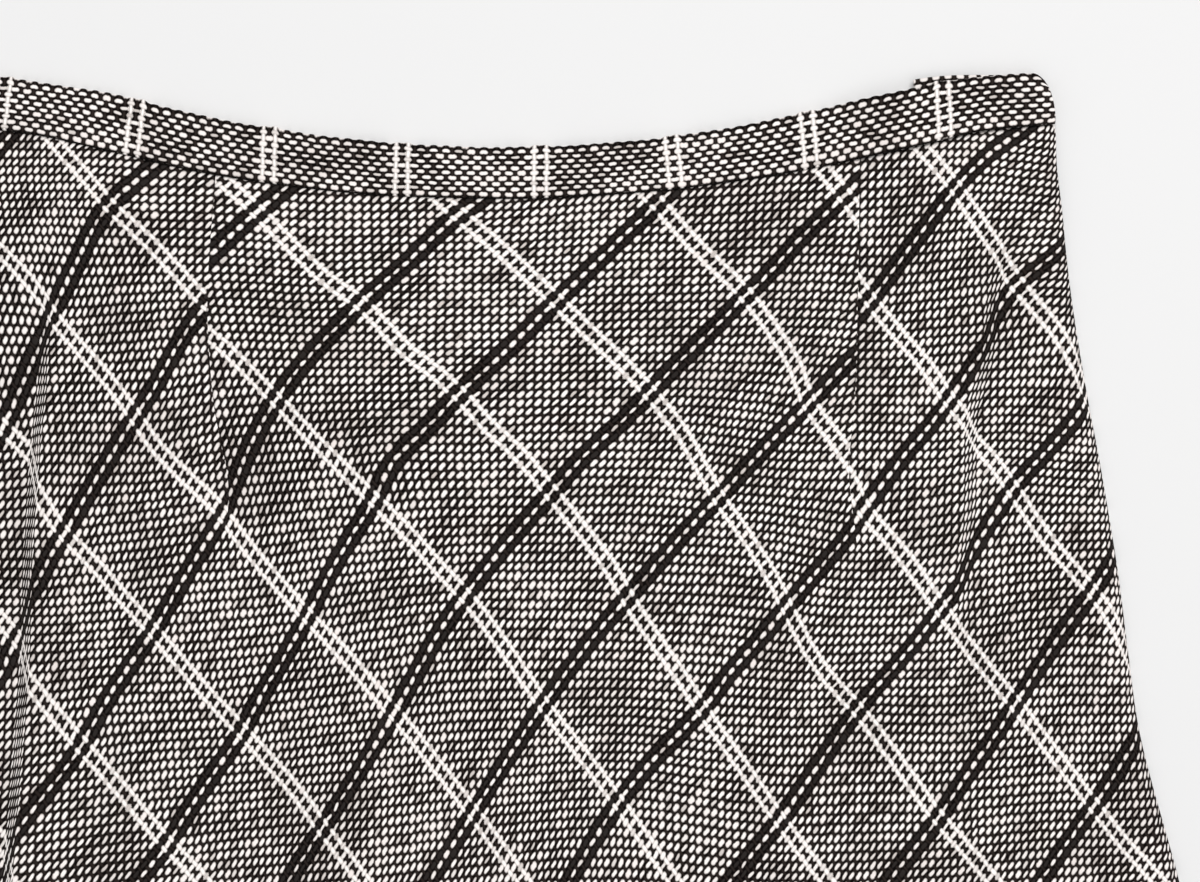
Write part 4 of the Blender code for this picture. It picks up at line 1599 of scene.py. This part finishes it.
@dataclass
class SideZip:
    """The closed zip in the right side: tape, coil, slider and pull."""

    lay: Lay
    start: float = 22.5
    end: float = 200.0
    tape_width: float = 18.0
    tape_cloth: float = 0.6
    tape_height: float = 1.85
    tape_inset: float = 1.4
    tape_ripple: float = 0.08
    first_tooth: float = 31.0
    last_tooth: float = 196.0
    pitch: float = 1.5
    tooth: tuple[float, float, float] = (1.5, 0.9, 0.55)
    tooth_round: float = 0.18
    tooth_inset: float = 0.9
    tooth_sunk: float = 0.05

    def outer(self, d: Array) -> Array:
        """The x of the tape's outer edge."""
        return self.lay.back_right(d) - self.tape_inset * soft_step(*self.lay.notch_ends, d)

    def tape(self, material: Material) -> Object:
        """The tape, which lies between the panels.

        Args:
            material: The tape's material.

        Returns:
            The finished piece.
        """
        rows = np.linspace(self.start, self.end, 90)
        share = np.linspace(0.0, 1.0, 13)[None, :]
        inner = (right_edge(rows) - self.lay.notch - self.tape_width)[:, None]
        xs = inner + (self.outer(rows)[:, None] - inner) * share
        ds = np.broadcast_to(rows[:, None], xs.shape)
        ripple = self.tape_ripple * np.sin(ds / 9.0) * (1 - share)
        points = to_metres(xs, ds, self.tape_height + self.tape_cloth + ripple)
        return lay_shell("zip_tape", points, np.stack([xs, ds], axis=2), material,
                         self.tape_cloth)

    def coil(self, material: Material) -> Object:
        """The coil's teeth: one is modelled, repeated down the tape and moved to its edge.

        Args:
            material: The nylon's material.

        Returns:
            The finished piece.
        """
        clear_selection()
        bpy.ops.mesh.primitive_cube_add(size=MM, location=(0.0, 0.0, 0.0))
        obj = named("zip_coil")
        with editing(obj):
            bpy.ops.transform.resize(value=self.tooth)
            bpy.ops.mesh.bevel(offset=self.tooth_round * MM, segments=2)
        apply_modifier(obj, "ARRAY", count=int((self.last_tooth - self.first_tooth) / self.pitch),
                       use_relative_offset=False, use_constant_offset=True,
                       constant_offset_displace=(0.0, self.pitch * MM, 0.0))
        points = points_of(obj.data) / MM
        d = self.first_tooth + points[:, 1]
        x = self.outer(d) - self.tooth_inset + points[:, 0]
        base = self.tape_height + self.tape_cloth + self.tooth[2] / 2
        move_points(obj.data, to_metres(x, d, base + points[:, 2] - self.tooth_sunk))
        with editing(obj):
            bpy.ops.mesh.normals_make_consistent(inside=False)
        bpy.ops.object.shade_smooth_by_angle(angle=math.radians(40.0))
        obj.data.materials.append(material)
        return settle(obj, None)

    def declare(self, tape: Object, coil: Object) -> None:
        """Does nothing with the tape and the coil."""

    def dress_metal(self, material: Material) -> None:
        """Gives the carried-over slider and pull their lacquer.

        Args:
            material: The lacquer's material.
        """
        for name in ("zip_slider", "zip_pull"):
            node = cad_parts[name]
            node.data.materials.clear()
            node.data.materials.append(material)
            log.info("%s: lacquered", name)


@dataclass(frozen=True)
class Lamp:
    """A square soft lamp: its name, place, power and size."""

    name: str
    place: tuple[float, float, float]
    power: float
    size: float


@dataclass
class Studio:
    """Pale paper, soft light from above the waist and the camera straight above."""

    centre: Pair = (0.0361, 0.36016)
    width: float = 0.456
    lens: float = 100.0
    sensor: float = 36.0
    cloth_height: float = 0.0044
    paper_size: float = 12.0
    paper_flat: float = 4.0
    paper_sweep: float = 0.12
    lamps: tuple[Lamp, ...] = (
        Lamp("key_lamp", (0.35, 1.15, 2.5), 47.0, 1.4),
        Lamp("fill_lamp", (0.9, -0.9, 2.5), 12.0, 2.2),
    )
    surround: Colour = (0.97, 0.975, 0.98)
    surround_power: float = 0.45

    def floor(self, material: Material) -> None:
        """The paper, swept up a little at its far edges.

        Args:
            material: The paper's material.
        """
        clear_selection()
        bpy.ops.mesh.primitive_grid_add(x_subdivisions=40, y_subdivisions=40,
                                        size=self.paper_size)
        floor = named("floor")
        points = points_of(floor.data)
        away = np.maximum(0.0, np.hypot(points[:, 0], points[:, 1]) - self.paper_flat)
        points[:, 2] = self.paper_sweep * away * away
        move_points(floor.data, points)
        bpy.ops.object.shade_smooth()
        floor.data.materials.append(material)

    def put(self, data: bpy.types.ID, location: tuple[float, float, float]) -> Object:
        """Puts a lamp or a camera at its place in the scene.

        Args:
            data: The lamp's or camera's data.
            location: Its place in metres.

        Returns:
            Its object.
        """
        obj = bpy.data.objects.new(data.name, data)
        bpy.context.scene.collection.objects.link(obj)
        obj.location = location
        return obj

    def lights(self) -> None:
        """One large soft lamp, a weaker one across from it, and an even surround."""
        target = np.array((*self.centre, 0.0))
        for row in self.lamps:
            lamp = bpy.data.lights.new(row.name, "AREA")
            lamp.energy = row.power
            lamp.size = row.size
            obj = self.put(lamp, row.place)
            direction = Vector(target - np.array(row.place))
            obj.rotation_euler = direction.to_track_quat("-Z", "Y").to_euler()
        world = bpy.data.worlds.new("studio_surround")
        world.use_nodes = True
        background = world.node_tree.nodes["Background"]
        background.inputs["Color"].default_value = (*self.surround, 1.0)
        background.inputs["Strength"].default_value = self.surround_power
        bpy.context.scene.world = world

    def camera(self) -> None:
        """The camera looks straight down, with the frame as wide as in the photograph."""
        view = bpy.data.cameras.new("overhead_camera")
        view.lens = self.lens
        view.sensor_width = self.sensor
        height = self.width * self.lens / self.sensor + self.cloth_height
        bpy.context.scene.camera = self.put(view, (*self.centre, height))
        bpy.context.scene.view_settings.view_transform = "Standard"


def main() -> None:
    """Builds the skirt's pieces in order, then the studio."""
    logging.basicConfig(level=logging.INFO, format="%(name)s: %(message)s")
    lay = Lay()
    cloth = WeaveFinish("check_weave").make()
    band_cloth = WeaveFinish("band_weave", dark_pairs=False, weft_half=0.385, weft_long=0.71,
                             weft_point=2.4, light_half=0.30, light_long=0.9, slub=0.18,
                             wander=0.5, thick_from=7.0).make()
    nylon = CoilFinish().make()
    panels = Panels(lay, Grain())
    front = panels.front(cloth)
    back = panels.back(cloth)
    band = Waistband()
    band_front = band.front(band_cloth)
    band_back = band.back(band_cloth)
    zipper = SideZip(lay)
    tape = zipper.tape(TapeFinish().make())
    coil = zipper.coil(nylon)
    zipper.dress_metal(CoatedMetalFinish().make())
    panels.declare(front, back)
    band.declare(band_front, band_back)
    zipper.declare(tape, coil)
    studio = Studio()
    studio.floor(PaperFinish().make())
    studio.lights()
    studio.camera()


if __name__ == "__main__":
    main()
